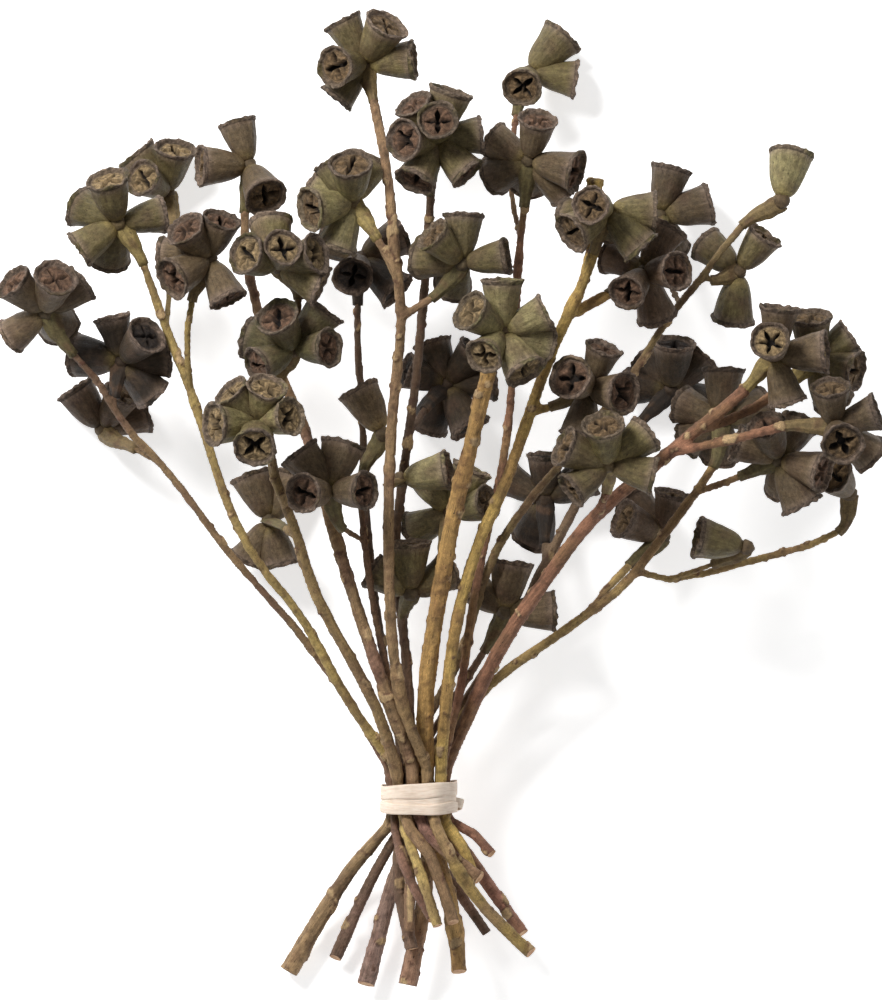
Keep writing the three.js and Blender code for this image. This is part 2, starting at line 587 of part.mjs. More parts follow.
function settle(routes, hubs) {
  const probes = makeProbes(routes, hubs);
  const rests = hubs.filter((hub) => UMBELS[hub.name].low);
  const move = new THREE.Vector3();
  let pairs = [];
  for (let round = 0; round < MOST_ROUNDS; round += 1) {
    for (const p of probes) placeProbe(p);
    if (round % LIST_ROUNDS === 0) pairs = nearPairs(probes);
    const free = round >= PULLED_ROUNDS;
    const grown = Math.min(1, FIRST_GROWTH + (1 - FIRST_GROWTH) * (round / GROWING_ROUNDS));
    let worst = 0;
    for (const [p, q] of pairs) {
      const want = grown * Math.sqrt(
        (p.radius + q.radius + GAP + SAFETY) ** 2 + (p.step ** 2 + q.step ** 2) / 4);
      const far = p.at.distanceTo(q.at);
      const over = want - far;
      if (over <= 0) continue;
      worst = Math.max(worst, over);
      move.copy(q.at).sub(p.at);
      move.x *= SIDEWAYS_SHARE;
      move.y *= SIDEWAYS_SHARE;
      if (Math.abs(move.z) < LEAST_RISE) move.z = p.rank < q.rank ? LEAST_RISE : -LEAST_RISE;
      move.setLength(over / 2);
      shove(q, move);
      shove(p, move.negate());
    }
    for (const p of probes) {
      if (p.at.z < p.radius) shove(p, move.set(0, 0, (p.radius - p.at.z) * FLOOR_SHARE));
    }
    if (!free) {
      for (const hub of rests) {
        const low = Math.min(...probes.filter((p) => p.route === hub.route && p.offset)
          .map((p) => p.at.z - p.radius));
        if (low > FLOOR_GAP) shove({ route: hub.route, i: hub.route.points.length - 2, f: 1, offset: true },
          move.set(0, 0, -REST_DROP));
      }
    }
    if (free && worst < CLEAR_ENOUGH) break;
    for (const route of routes) applyPushes(route);
    for (const route of routes) smooth(route, free ? 0 : PLAN_PULL);
  }
}

// Spreads a route's bends along it, and keeps a branch's foot on its stem.
function smooth(route, pull) {
  const { points, plan, fixed } = route;
  const shift = points.map((p, i) => p.clone().sub(plan[i]));
  for (let i = 1; i + 1 < points.length; i += 1) {
    if (fixed[i]) continue;
    const mean = shift[i - 1].clone().add(shift[i + 1]).multiplyScalar(0.5);
    const share = pull > 0 ? PULLED_SMOOTHING : FREE_SMOOTHING;
    points[i].add(mean.sub(shift[i]).multiplyScalar(share));
    points[i].addScaledVector(shift[i], -pull);
  }
  if (!route.umbel || !UMBELS[route.umbel].low) {
    points[points.length - 1].addScaledVector(shift[points.length - 1], -pull);
  }
  if (route.parent) points[0].copy(route.parent.host.points[route.parent.joint]);
}

// ---------------------------------------------------------------- solids
const wasm = await Module();
wasm.setup();

function toManifold(geometry) {
  geometry.deleteAttribute("normal");
  geometry.deleteAttribute("uv");
  const merged = mergeVertices(geometry, 1e-4);
  return new wasm.Manifold(new wasm.Mesh({
    numProp: 3,
    vertProperties: new Float32Array(merged.attributes.position.array),
    triVerts: new Uint32Array(merged.index.array),
  }));
}

function toGeometry(solid) {
  const mesh = solid.getMesh();
  const geometry = new THREE.BufferGeometry();
  geometry.setAttribute("position", new THREE.BufferAttribute(mesh.vertProperties, 3));
  geometry.setIndex(new THREE.BufferAttribute(mesh.triVerts, 1));
  geometry.computeVertexNormals();
  return geometry;
}

// A closed rod through rings: each ring has a centre, a half width and a half thickness. The
// width lies flat, and every ring stands square to the rod.
function rod(rings, sides) {
  const positions = [];
  const index = [];
  const side = new THREE.Vector3(1, 0, 0);
  rings.forEach((ring, k) => {
    const before = rings[Math.max(0, k - 1)].at;
    const after = rings[Math.min(rings.length - 1, k + 1)].at;
    const tangent = ring.tangent ?? after.clone().sub(before).normalize();
    const flat = tangent.clone().cross(UP);
    if (flat.length() < 0.25) flat.copy(side).addScaledVector(tangent, -side.dot(tangent));
    side.copy(flat.normalize());
    const rise = side.clone().cross(tangent);
    for (let s = 0; s < sides; s += 1) {
      const a = (s / sides) * Math.PI * 2;
      const p = ring.at.clone()
        .addScaledVector(side, Math.cos(a) * ring.width)
        .addScaledVector(rise, Math.sin(a) * ring.thickness);
      positions.push(p.x, p.y, p.z);
    }
  });
  for (let k = 0; k + 1 < rings.length; k += 1) {
    for (let s = 0; s < sides; s += 1) {
      const a = k * sides + s;
      const b = k * sides + ((s + 1) % sides);
      index.push(a, a + sides, b, b, a + sides, b + sides);
    }
  }
  const first = positions.length / 3;
  const last = first + 1;
  const ends = [rings[0].at, rings[rings.length - 1].at];
  for (const end of ends) positions.push(end.x, end.y, end.z);
  const top = (rings.length - 1) * sides;
  for (let s = 0; s < sides; s += 1) {
    index.push(first, s, (s + 1) % sides);
    index.push(last, top + ((s + 1) % sides), top + s);
  }
  const geometry = new THREE.BufferGeometry();
  geometry.setAttribute("position", new THREE.Float32BufferAttribute(positions, 3));
  geometry.setIndex(index);
  const solid = toManifold(geometry);
  return solid.volume() < 0 ? toManifold(flipped(geometry)) : solid;
}

function flipped(geometry) {
  const array = geometry.index.array;
  for (let i = 0; i < array.length; i += 3) {
    const kept = array[i];
    array[i] = array[i + 1];
    array[i + 1] = kept;
  }
  return geometry;
}

// One bell-shaped capsule, standing on its narrow base, with a shallow sunken mouth.
function capsule(size) {
  const R = (CAPSULE_MOUTH_DIAMETER / 2) * size;
  const L = CAPSULE_LENGTH * size;
  const profile = [
    new THREE.Vector2(0, 0),
    new THREE.Vector2(CAPSULE_BASE_DIAMETER / 2, 0),
    new THREE.Vector2(R * 0.68, L * 0.48),
    new THREE.Vector2(R, L),
    new THREE.Vector2(0, L - CAPSULE_MOUTH_RECESS),
  ];
  return new THREE.LatheGeometry(profile, CAPSULE_SIDES).rotateX(Math.PI / 2);
}

function capsuleSolid(at, mouth, size) {
  const turn = new THREE.Quaternion().setFromUnitVectors(UP, mouth);
  const place = new THREE.Matrix4().compose(
    at.clone().addScaledVector(mouth, PEDICEL_LENGTH), turn, new THREE.Vector3(1, 1, 1));
  return toManifold(capsule(size).applyMatrix4(place));
}

// One solid out of several. Pockets closed in between them are filled, because only the
// outer skin is kept, and slivers left by the joints are tidied away.
function joined(solids) {
  if (solids.length === 1) return solids[0];
  const shells = wasm.Manifold.union(solids).decompose();
  const outer = shells.reduce((a, b) => (b.volume() > a.volume() ? b : a));
  return outer.simplify(JOINT_TOLERANCE);
}

// The way a route runs where its strap meets the wood: both end faces stand square to it.
function jointTangent(route) {
  const i = route.strapFrom;
  return route.points[i + 1].clone().sub(route.points[i - 1]).normalize();
}

// The woody part of a route, cut GAP short of its strap.
function woodSolid(route) {
  const end = Math.min(route.strapFrom, route.points.length - 1);
  const rings = [];
  for (let i = 0; i <= end; i += 1) {
    rings.push({ at: route.points[i].clone(), width: route.radii[i], thickness: route.radii[i] });
  }
  if (!route.umbel) {
    const tip = rings[rings.length - 1];
    tip.width = BROKEN_TIP_WIDTH / 2;
    tip.thickness = STRAP_THICKNESS / 2;
  } else {
    const tip = rings[rings.length - 1];
    tip.tangent = jointTangent(route);
    tip.at.addScaledVector(tip.tangent, -GAP);
  }
  return rod(rings, STEM_SIDES);
}

// The flattened stalk that carries an umbel, from its foot on the wood to the hub.
function strapSolid(route) {
  const rings = [];
  const last = route.points.length - 1;
  for (let i = route.strapFrom; i <= last; i += 1) {
    const t = (i - route.strapFrom) / (last - route.strapFrom);
    const width = STRAP_FOOT_WIDTH + (STRAP_WIDTH - STRAP_FOOT_WIDTH) * Math.min(1, t * 1.4);
    rings.push({ at: route.points[i], width: width / 2, thickness: STRAP_THICKNESS / 2 });
  }
  rings[0].tangent = jointTangent(route);
  return rod(rings, STEM_SIDES);
}

function umbelSolid(hub) {
  const at = hub.route.points[hub.route.points.length - 1];
  const core = new THREE.IcosahedronGeometry(HUB_DIAMETER / 2, 0).translate(at.x, at.y, at.z);
  const solids = [strapSolid(hub.route), toManifold(core)];
  hub.mouths.forEach((mouth, k) => solids.push(capsuleSolid(at, mouth, hub.sizes[k])));
  return joined(solids);
}

// ---------------------------------------------------------------- the tie
// The smallest convex outline, in x and z, around all the stems where the band grips them.
function gripOutline(routes, margin) {
  const marks = [];
  const y = TIE_Y * stretch.y;
  for (const route of routes) {
    for (let i = 0; i + 1 < route.points.length; i += 1) {
      const a = route.points[i];
      const b = route.points[i + 1];
      for (let f = 0; f <= 1; f += GRIP_STEP) {
        const p = a.clone().lerp(b, f);
        if (Math.abs(p.y - y) > BAND_WIDTH / 2 + GRIP_REACH) continue;
        const r = Math.max(route.radii[i], route.radii[Math.min(i + 1, route.radii.length - 1)]);
        for (let k = 0; k < GRIP_SIDES; k += 1) {
          const t = (k / GRIP_SIDES) * Math.PI * 2;
          const reach = (r + margin) / Math.cos(Math.PI / GRIP_SIDES);
          marks.push([p.x + reach * Math.cos(t), p.z + reach * Math.sin(t)]);
        }
      }
    }
  }
  marks.sort((p, q) => p[0] - q[0] || p[1] - q[1]);
  const turn = (o, a, b) => (a[0] - o[0]) * (b[1] - o[1]) - (a[1] - o[1]) * (b[0] - o[0]);
  const half = (list) => {
    const chain = [];
    for (const p of list) {
      while (chain.length > 1 && turn(chain[chain.length - 2], chain[chain.length - 1], p) <= 0) {
        chain.pop();
      }
      chain.push(p);
    }
    chain.pop();
    return chain;
  };
  return [...half(marks), ...half([...marks].reverse())];
}

// Thins an outline to a set number of corners, each the furthest point its way.
function evenOutline(outline, corners) {
  const centre = outline.reduce((s, p) => [s[0] + p[0] / outline.length, s[1] + p[1] / outline.length],
    [0, 0]);
  const planes = [];
  for (let k = 0; k < corners; k += 1) {
    const t = (k / corners) * Math.PI * 2;
    const n = [Math.cos(t), Math.sin(t)];
    planes.push([n, Math.max(...outline.map((p) => p[0] * n[0] + p[1] * n[1]))]);
  }
  return planes.map(([n, d], k) => {
    const [m, e] = planes[(k + 1) % corners];
    const det = n[0] * m[1] - n[1] * m[0];
    return Math.abs(det) < 1e-6 ? centre : [(d * m[1] - e * n[1]) / det, (n[0] * e - m[0] * d) / det];
  });
}

function ringSolid(routes, from, width, inner, thickness) {
  const outside = evenOutline(gripOutline(routes, inner + thickness), BAND_CORNERS);
  const inside = evenOutline(gripOutline(routes, inner), BAND_CORNERS);
  const shape = new THREE.Shape(outside.map(([x, z]) => new THREE.Vector2(x, z)));
  shape.holes.push(new THREE.Path(inside.map(([x, z]) => new THREE.Vector2(x, z))));
  const ring = new THREE.ExtrudeGeometry(shape, { depth: width, bevelEnabled: false });
  ring.rotateX(Math.PI / 2);
  ring.translate(0, from + width, 0);
  return toManifold(ring);
}

function bandSolid(routes) {
  const middle = TIE_Y * stretch.y;
  const low = middle - BAND_WIDTH / 2;
  const thick = BAND_THICKNESS;
  const turns = [
    ringSolid(routes, low, BAND_WIDTH, GAP, thick),
    ringSolid(routes, low, BAND_TURN_WIDTH * 0.8, GAP, thick * 2),
    ringSolid(routes, low + BAND_WIDTH - BAND_TURN_WIDTH, BAND_TURN_WIDTH, GAP, thick * 2),
  ];
  const outline = gripOutline(routes, GAP + thick);
  const edge = outline.reduce((best, p) => (p[0] > best[0] ? p : best));
  const tail = new THREE.CylinderGeometry(
    BAND_TAIL_DIAMETER / 2, BAND_TAIL_DIAMETER / 2, BAND_TURN_WIDTH, 8);
  tail.translate(edge[0] + BAND_TAIL_DIAMETER * 0.4, low + BAND_TURN_WIDTH * 0.6, edge[1] + 1);
  return joined([...turns, toManifold(tail)]);
}

// ---------------------------------------------------------------- assembly
const routes = buildRoutes();
const names = Object.keys(UMBELS);
const hubs = routes.filter((route) => route.umbel).map((route) => {
  const mouths = openMouths(route);
  const index = names.indexOf(route.umbel);
  return { name: route.umbel, route, mouths, sizes: mouths.map((m, k) => capsuleSize(index, k)) };
});
settle(routes, hubs);

const group = new THREE.Group();
group.name = "dried_eucalyptus_bunch";

function addMesh(name, solid, colour, roughness) {
  const material = new THREE.MeshStandardMaterial({ color: colour, roughness, metalness: 0 });
  const mesh = new THREE.Mesh(toGeometry(solid), material);
  mesh.name = name;
  group.add(mesh);
}

STEMS.forEach((stem, index) => {
  const own = routes.filter((route) => route.stemIndex === index);
  addMesh(`stem_${stem.name}`, joined(own.map(woodSolid)), stem.colour, 0.85);
});
for (const hub of hubs) {
  addMesh(`capsules_${hub.name}`, umbelSolid(hub), UMBELS[hub.name].colour, 0.8);
}
addMesh("tie_band", bandSolid(routes), "#e3d2bd", 0.6);

const box = new THREE.Box3().setFromObject(group);
const centre = box.getCenter(new THREE.Vector3());
for (const mesh of group.children) {
  mesh.geometry.translate(-centre.x, -centre.y, -box.min.z);
}

export default group;
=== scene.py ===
"""The looks of a tied bunch of dried gum-nut branches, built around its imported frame.

Every stem, umbel and the tie is remade as a fine mesh where its plain solid lies: bark with
knuckles and cut ends, bell-shaped capsules with their lips and seed valves, flattened ribbed
stalks, and a flat rubber band. Lengths are in metres unless a name says otherwise.
"""

import logging
import math
import random
from dataclasses import dataclass, field, replace
from enum import Enum

import bmesh
import bpy
from mathutils import Matrix, Vector, noise


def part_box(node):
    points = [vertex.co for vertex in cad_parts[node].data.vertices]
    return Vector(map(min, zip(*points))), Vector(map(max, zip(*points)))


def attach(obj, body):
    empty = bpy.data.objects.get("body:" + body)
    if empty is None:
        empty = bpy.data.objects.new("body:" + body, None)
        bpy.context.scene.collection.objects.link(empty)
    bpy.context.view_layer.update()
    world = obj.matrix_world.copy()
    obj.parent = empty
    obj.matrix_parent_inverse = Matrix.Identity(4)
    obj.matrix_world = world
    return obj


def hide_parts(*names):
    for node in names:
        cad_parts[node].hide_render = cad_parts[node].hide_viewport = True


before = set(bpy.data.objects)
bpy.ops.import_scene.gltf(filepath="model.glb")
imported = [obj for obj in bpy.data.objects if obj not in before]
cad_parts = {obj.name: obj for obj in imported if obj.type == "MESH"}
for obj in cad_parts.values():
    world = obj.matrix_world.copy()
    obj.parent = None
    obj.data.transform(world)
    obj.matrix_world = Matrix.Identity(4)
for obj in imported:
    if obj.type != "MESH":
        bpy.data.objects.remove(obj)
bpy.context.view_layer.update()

log = logging.getLogger("eucalyptus")

MM = 0.001
BODY = "root"

# Sizes that the capsule solids share, in millimetres, and how many sides they have.
CAPSULE_LENGTH = 17.0
MOUTH_RADIUS = 8.0
PEDICEL = 1.9
BELL_FOOT_RADIUS = 2.1
SOLID_SIDES = 6

# What tells the middle of a mouth from any other corner: how even the ring round it is, the
# ring's size as a share of the usual one, and how many millimetres it is sunk.
EVEN_WITHIN = 0.06
MOUTH_SIZES = (0.8, 1.25)
SUNK = (1.0, 2.6)

Rgb = tuple[float, float, float]
Span = tuple[float, float]


# ------------------------------------------------------------------ colours and small helpers
def rgb(red: int, green: int, blue: int) -> Rgb:
    """Turns a colour as it looks on a screen into the linear one that light works in.

    Args:
        red: Screen red, 0 to 255.
        green: Screen green, 0 to 255.
        blue: Screen blue, 0 to 255.

    Returns:
        The linear colour, each channel 0 to 1.
    """
    def linear(value: int) -> float:
        """Undoes the screen's curve for one channel."""
        share = value / 255
        return share / 12.92 if share <= 0.04045 else ((share + 0.055) / 1.055) ** 2.4

    return linear(red), linear(green), linear(blue)


def mixed(first: Rgb, second: Rgb, share: float) -> Rgb:
    """Goes from the first colour to the second by a share of 0 to 1."""
    share = min(1.0, max(0.0, share))
    return tuple(a + (b - a) * share for a, b in zip(first, second))


def shaded(colour: Rgb, by: float) -> Rgb:
    """Makes a colour lighter or darker by a factor."""
    return tuple(channel * by for channel in colour)


def eased(value: float, start: float, end: float) -> float:
    """A smooth step from 0 at start to 1 at end."""
    share = min(1.0, max(0.0, (value - start) / (end - start)))
    return share * share * (3 - 2 * share)


def rough(point: Vector, scale: float, seed: float = 0.0) -> float:
    """Smooth noise of about -1 to 1 at a point, whose lumps are about 1/scale across."""
    return noise.noise(point * scale + Vector((seed, seed * 0.7, -seed)))


@dataclass(frozen=True)
class Lumps:
    """Uneven bumps: their scale, how strong they are, and their own place in the noise."""

    scale: float
    depth: float
    shift: float = 0.0

    def at(self, point: Vector, seed: float) -> float:
        """How high the bumps are at a point."""
        return rough(point, self.scale, seed + self.shift) * self.depth


@dataclass(frozen=True)
class Patches:
    """Soft-edged patches: their scale, where they start and are full, and their place."""

    scale: float
    start: float
    full: float
    shift: float = 0.0

    def at(self, point: Vector, seed: float) -> float:
        """How much a point is in a patch, from 0 to 1."""
        return eased(rough(point, self.scale, seed + self.shift), self.start, self.full)


def summed(lumps: tuple[Lumps, ...], point: Vector, seed: float) -> float:
    """The height of several kinds of bumps together."""
    return sum(kind.at(point, seed) for kind in lumps)


class Tint(Enum):
    """Colours that the dried capsules, stalks and bark come in, and a dark one that is painted
    shade.
    """

    OLIVE = rgb(108, 97, 62)
    MOSS = rgb(96, 90, 58)
    PALE_GREEN = rgb(138, 128, 88)
    GREY_BROWN = rgb(100, 84, 62)
    BROWN = rgb(90, 70, 52)
    # The dark tint is painted shade, for umbels that lie deep in the bunch's shadow.
    PAINTED_SHADE = rgb(48, 39, 31)
    YELLOW = rgb(150, 131, 80)
    TAN = rgb(128, 108, 71)


class Valves(Enum):
    """Colours of the valves and the disc around them, and a dark one that is painted shade."""

    CREAM = rgb(176, 149, 108)
    TAN = rgb(138, 112, 80)
    PINK = rgb(130, 99, 77)
    # The dark colour is painted shade, for the valves of umbels deep in the bunch's shadow.
    PAINTED_SHADE = rgb(54, 43, 36)


# ------------------------------------------------------------------ finishes
class Nodes:
    """Building one material's node tree in few words."""

    def __init__(self, name: str) -> None:
        """Starts an empty material whose shader is already wired to the output.

        Args:
            name: The material's name.
        """
        self.material = bpy.data.materials.new(name)
        self.material.use_nodes = True
        self.tree = self.material.node_tree
        self.shader = self.tree.nodes["Principled BSDF"]

    def add(self, kind: str, inputs: dict | None = None, **settings: object) -> bpy.types.Node:
        """Adds a node.

        Args:
            kind: The node's type, without "ShaderNode".
            inputs: Socket name or number to a value, or to an output socket to link.
            settings: The node's own settings.

        Returns:
            The new node.
        """
        node = self.tree.nodes.new("ShaderNode" + kind)
        for key, value in settings.items():
            setattr(node, key, value)
        for key, value in (inputs or {}).items():
            self.put(node.inputs[key], value)
        return node

    def put(self, socket: bpy.types.NodeSocket, value: object) -> None:
        """Links an output to a socket, or sets the socket's own value."""
        if isinstance(value, bpy.types.NodeSocket):
            self.tree.links.new(value, socket)
        else:
            socket.default_value = value

    def attribute(self, name: str) -> bpy.types.Node:
        """Reads a value painted on the mesh."""
        return self.add("Attribute", attribute_name=name)

    def noise(self, vector: object, scale: float, detail: float = 4.0,
              rough: float = 0.6) -> object:
        """A noise value of 0 to 1 on a vector."""
        node = self.add("TexNoise", {"Vector": vector, "Scale": scale, "Detail": detail,
                                     "Roughness": rough})
        return node.outputs["Fac"]

    def ranged(self, value: object, old: Span, new: Span) -> object:
        """Maps a value from its old range to a new one, held at both ends."""
        node = self.add("MapRange", {"Value": value, "From Min": old[0], "From Max": old[1],
                                     "To Min": new[0], "To Max": new[1]})
        return node.outputs["Result"]

    def times(self, first: object, second: object) -> object:
        """Multiplies two values."""
        return self.add("Math", {0: first, 1: second}, operation="MULTIPLY").outputs[0]

    def tinted(self, base: object, other: object, factor: object, blend: str = "MIX") -> object:
        """Mixes two colours."""
        node = self.add("Mix", data_type="RGBA", blend_type=blend)
        self.put(node.inputs["Factor"], factor)
        self.put(node.inputs[6], base)
        self.put(node.inputs[7], other)
        return node.outputs[2]

    def sum(self, parts: list[tuple[object, float]]) -> object:
        """Adds up values, each times its weight."""
        total: object = 0.0
        for value, weight in parts:
            node = self.add("Math", {0: value, 1: weight, 2: total}, operation="MULTIPLY_ADD")
            total = node.outputs[0]
        return total

    def finish(self, colour: object, roughness: object, height: object, strength: float,
               distance: float) -> bpy.types.Material:
        """Gives the shader its colour, its roughness and its bumps.

        Args:
            colour: The base colour.
            roughness: The roughness.
            height: The height that the bumps come from.
            strength: How strong the bumps are.
            distance: How high the bumps are, in metres.

        Returns:
            The finished material.
        """
        self.put(self.shader.inputs["Base Color"], colour)
        self.put(self.shader.inputs["Roughness"], roughness)
        bump = self.add("Bump", {"Height": height, "Strength": strength, "Distance": distance})
        self.put(self.shader.inputs["Normal"], bump.outputs["Normal"])
        return self.material


@dataclass(frozen=True)
class DrySurface:
    """A dried plant surface: painted colour, long grain, blotches and small dark specks.

    The "paint" attribute gives the colour, and "grain" a place on the piece in millimetres
    that is squeezed along the growth, so a pattern on it runs lengthways.
    """

    name: str
    roughness: float = 0.72
    grain_scale: float = 1.4
    grain_depth: float = 0.3
    blotch_scale: float = 120.0
    blotch_colour: Rgb = rgb(96, 76, 56)
    blotch_share: float = 0.5
    speck_scale: float = 2.2
    speck_share: float = 0.6
    speck_colour: Rgb = rgb(58, 42, 32)
    relief: float = 0.5
    shine: float = 0.4
    scab_depth: float = 0.3
    fine_scale: float = 2600.0
    scab_scale: float = 620.0
    speck_field_scale: float = 900.0
    blotch_span: Span = (0.48, 0.72)
    fibre_span: Span = (0.28, 0.72)
    scab_span: Span = (0.34, 0.66)
    speck_span: Span = (0.60, 0.68)
    speck_field_span: Span = (0.45, 0.62)
    even_span: Span = (0.3, 0.7)
    fine_depth: float = 0.2
    bump_height: float = 0.0011

    def material(self) -> bpy.types.Material:
        """Builds the material.

        Returns:
            The new material.
        """
        nodes = Nodes(self.name)
        paint = nodes.attribute("paint").outputs["Color"]
        grain = nodes.attribute("grain").outputs["Vector"]
        place = nodes.add("TexCoord").outputs["Object"]
        fibres = nodes.noise(grain, self.grain_scale, 5.0, 0.65)
        fine = nodes.noise(place, self.fine_scale, 3.0)
        scabs = nodes.noise(place, self.scab_scale, 6.0, 0.72)
        blotches = nodes.noise(place, self.blotch_scale, 5.0, 0.62)
        specks = nodes.noise(grain, self.speck_scale, 2.0, 0.5)
        speck_field = nodes.noise(place, self.speck_field_scale, 1.0, 0.4)
        colour = nodes.tinted(paint, (*self.blotch_colour, 1.0),
                              nodes.ranged(blotches, self.blotch_span, (0.0, self.blotch_share)))
        light: object = 1.0
        for pattern, span, depth in ((fibres, self.fibre_span, self.grain_depth),
                                     (fine, self.even_span, self.fine_depth),
                                     (scabs, self.scab_span, self.scab_depth)):
            light = nodes.times(light, nodes.ranged(pattern, span, (1 - depth, 1 + depth)))
        grey = nodes.add("CombineColor", {0: light, 1: light, 2: light}).outputs[0]
        colour = nodes.tinted(colour, grey, 1.0, "MULTIPLY")
        dark = nodes.times(nodes.ranged(specks, self.speck_span, (0.0, 1.0)),
                           nodes.ranged(speck_field, self.speck_field_span,
                                        (0.0, self.speck_share)))
        colour = nodes.tinted(colour, (*self.speck_colour, 1.0), dark)
        roughness = nodes.ranged(blotches, self.even_span,
                                 (self.roughness - 0.1, self.roughness + 0.08))
        nodes.put(nodes.shader.inputs["Specular IOR Level"], self.shine)
        height = nodes.sum([(fibres, 0.8), (fine, 0.35), (blotches, 0.6), (scabs, 1.2),
                            (dark, -0.4)])
        return nodes.finish(colour, roughness, height, self.relief, self.bump_height)


@dataclass(frozen=True)
class CutWood:
    """Pale wood at a cut end, with warm patches and fine marks."""

    name: str = "cut_wood"
    pale: Rgb = rgb(214, 176, 136)
    warm: Rgb = rgb(176, 126, 92)
    roughness: float = 0.8
    patch_scale: float = 420.0
    mark_scale: float = 2400.0

    def material(self) -> bpy.types.Material:
        """Builds the material."""
        nodes = Nodes(self.name)
        place = nodes.add("TexCoord").outputs["Object"]
        patches = nodes.noise(place, self.patch_scale, 5.0)
        marks = nodes.noise(place, self.mark_scale, 3.0)
        colour = nodes.tinted((*self.pale, 1.0), (*self.warm, 1.0),
                              nodes.ranged(patches, (0.4, 0.65), (0.0, 1.0)))
        colour = nodes.tinted(colour, (*shaded(self.warm, 0.5), 1.0),
                              nodes.ranged(marks, (0.6, 0.75), (0.0, 0.5)))
        height = nodes.sum([(patches, 1.0), (marks, 0.5)])
        return nodes.finish(colour, self.roughness, height, 0.5, 0.0005)


@dataclass(frozen=True)
class Rubber:
    """Cream natural rubber, dull, with stretch lines along the band."""

    name: str = "cream_rubber"
    cream: Rgb = rgb(238, 221, 203)
    shade: Rgb = rgb(214, 190, 168)
    roughness: float = 0.6
    line_scale: float = 1.6
    cloud_scale: float = 160.0
    glow_through: float = 0.08
    glow_reach: Rgb = (0.002, 0.0012, 0.0008)

    def material(self) -> bpy.types.Material:
        """Builds the material."""
        nodes = Nodes(self.name)
        grain = nodes.attribute("grain").outputs["Vector"]
        place = nodes.add("TexCoord").outputs["Object"]
        lines = nodes.noise(grain, self.line_scale, 5.0)
        clouds = nodes.noise(place, self.cloud_scale, 3.0)
        colour = nodes.tinted((*self.cream, 1.0), (*self.shade, 1.0),
                              nodes.ranged(lines, (0.42, 0.72), (0.0, 0.9)))
        colour = nodes.tinted(colour, (*shaded(self.shade, 0.9), 1.0),
                              nodes.ranged(clouds, (0.5, 0.8), (0.0, 0.5)))
        nodes.put(nodes.shader.inputs["Subsurface Weight"], self.glow_through)
        nodes.put(nodes.shader.inputs["Subsurface Radius"], self.glow_reach)
        height = nodes.sum([(lines, 1.0), (clouds, 0.5)])
        return nodes.finish(colour, self.roughness, height, 0.35, 0.0004)


@dataclass(frozen=True)
class Paper:
    """The pale table that the bunch lies on, lit softly from below like a light table."""

    name: str = "pale_table"
    colour: Rgb = (0.93, 0.93, 0.93)
    glow: float = 0.6
    roughness: float = 0.9

    def material(self) -> bpy.types.Material:
        """Builds the material."""
        nodes = Nodes(self.name)
        values = {"Base Color": (*self.colour, 1.0), "Roughness": self.roughness,
                  "Emission Color": (1.0, 1.0, 1.0, 1.0), "Emission Strength": self.glow}
        for name, value in values.items():
            nodes.put(nodes.shader.inputs[name], value)
        return nodes.material


# ------------------------------------------------------------------ meshes
@dataclass
class Sculpture:
    """A mesh in the making, with its painted colour and its grain."""

    mesh: bmesh.types.BMesh = field(default_factory=bmesh.new)

    def __post_init__(self) -> None:
        """Adds the two attributes that the finishes read."""
        layers = self.mesh.verts.layers
        self.paint = layers.float_color.get("paint") or layers.float_color.new("paint")
        self.grain = layers.float_vector.get("grain") or layers.float_vector.new("grain")

    def dress(self, vert: bmesh.types.BMVert, colour: Rgb, grain: Vector) -> None:
        """Paints one vertex and says where it lies in the grain."""
        vert[self.paint] = (*colour, 1.0)
        vert[self.grain] = grain

    def add(self, other: bmesh.types.BMesh) -> None:
        """Takes in another bmesh with its attributes, and frees it."""
        part = as_data(other, "part")
        self.mesh.from_mesh(part)
        bpy.data.meshes.remove(part)

    def finish(self, name: str, node: str, materials: list[bpy.types.Material]) -> bpy.types.Object:
        """Makes the mesh a piece that stands for a CAD node.

        Args:
            name: The piece's name.
            node: The CAD node that it replaces.
            materials: The piece's materials, in the order of its faces' numbers.

        Returns:
            The new object.
        """
        data = as_data(self.mesh, name)
        for material in materials:
            data.materials.append(material)
        data.polygons.foreach_set("use_smooth", [True] * len(data.polygons))
        piece = placed(name, data)
        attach(piece, BODY)
        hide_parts(node)
        log.info("%s: %d faces", name, len(data.polygons))
        return piece


def as_data(mesh: bmesh.types.BMesh, name: str) -> bpy.types.Mesh:
    """Turns a bmesh into mesh data of this name, and frees it."""
    data = bpy.data.meshes.new(name)
    mesh.to_mesh(data)
    mesh.free()
    return data


def placed(name: str, data: bpy.types.ID) -> bpy.types.Object:
    """Makes an object of some data and puts it in the scene."""
    thing = bpy.data.objects.new(name, data)
    bpy.context.scene.collection.objects.link(thing)
    return thing


def merged_copy(node: str) -> bmesh.types.BMesh:
    """A copy of a CAD node's mesh whose loose triangles are joined.

    Args:
        node: The CAD node's name.

    Returns:
        The copy, as a bmesh.
    """
    copy = bmesh.new()
    copy.from_mesh(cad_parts[node].data)
    bmesh.ops.remove_doubles(copy, verts=copy.verts, dist=0.02 * MM)
    return copy


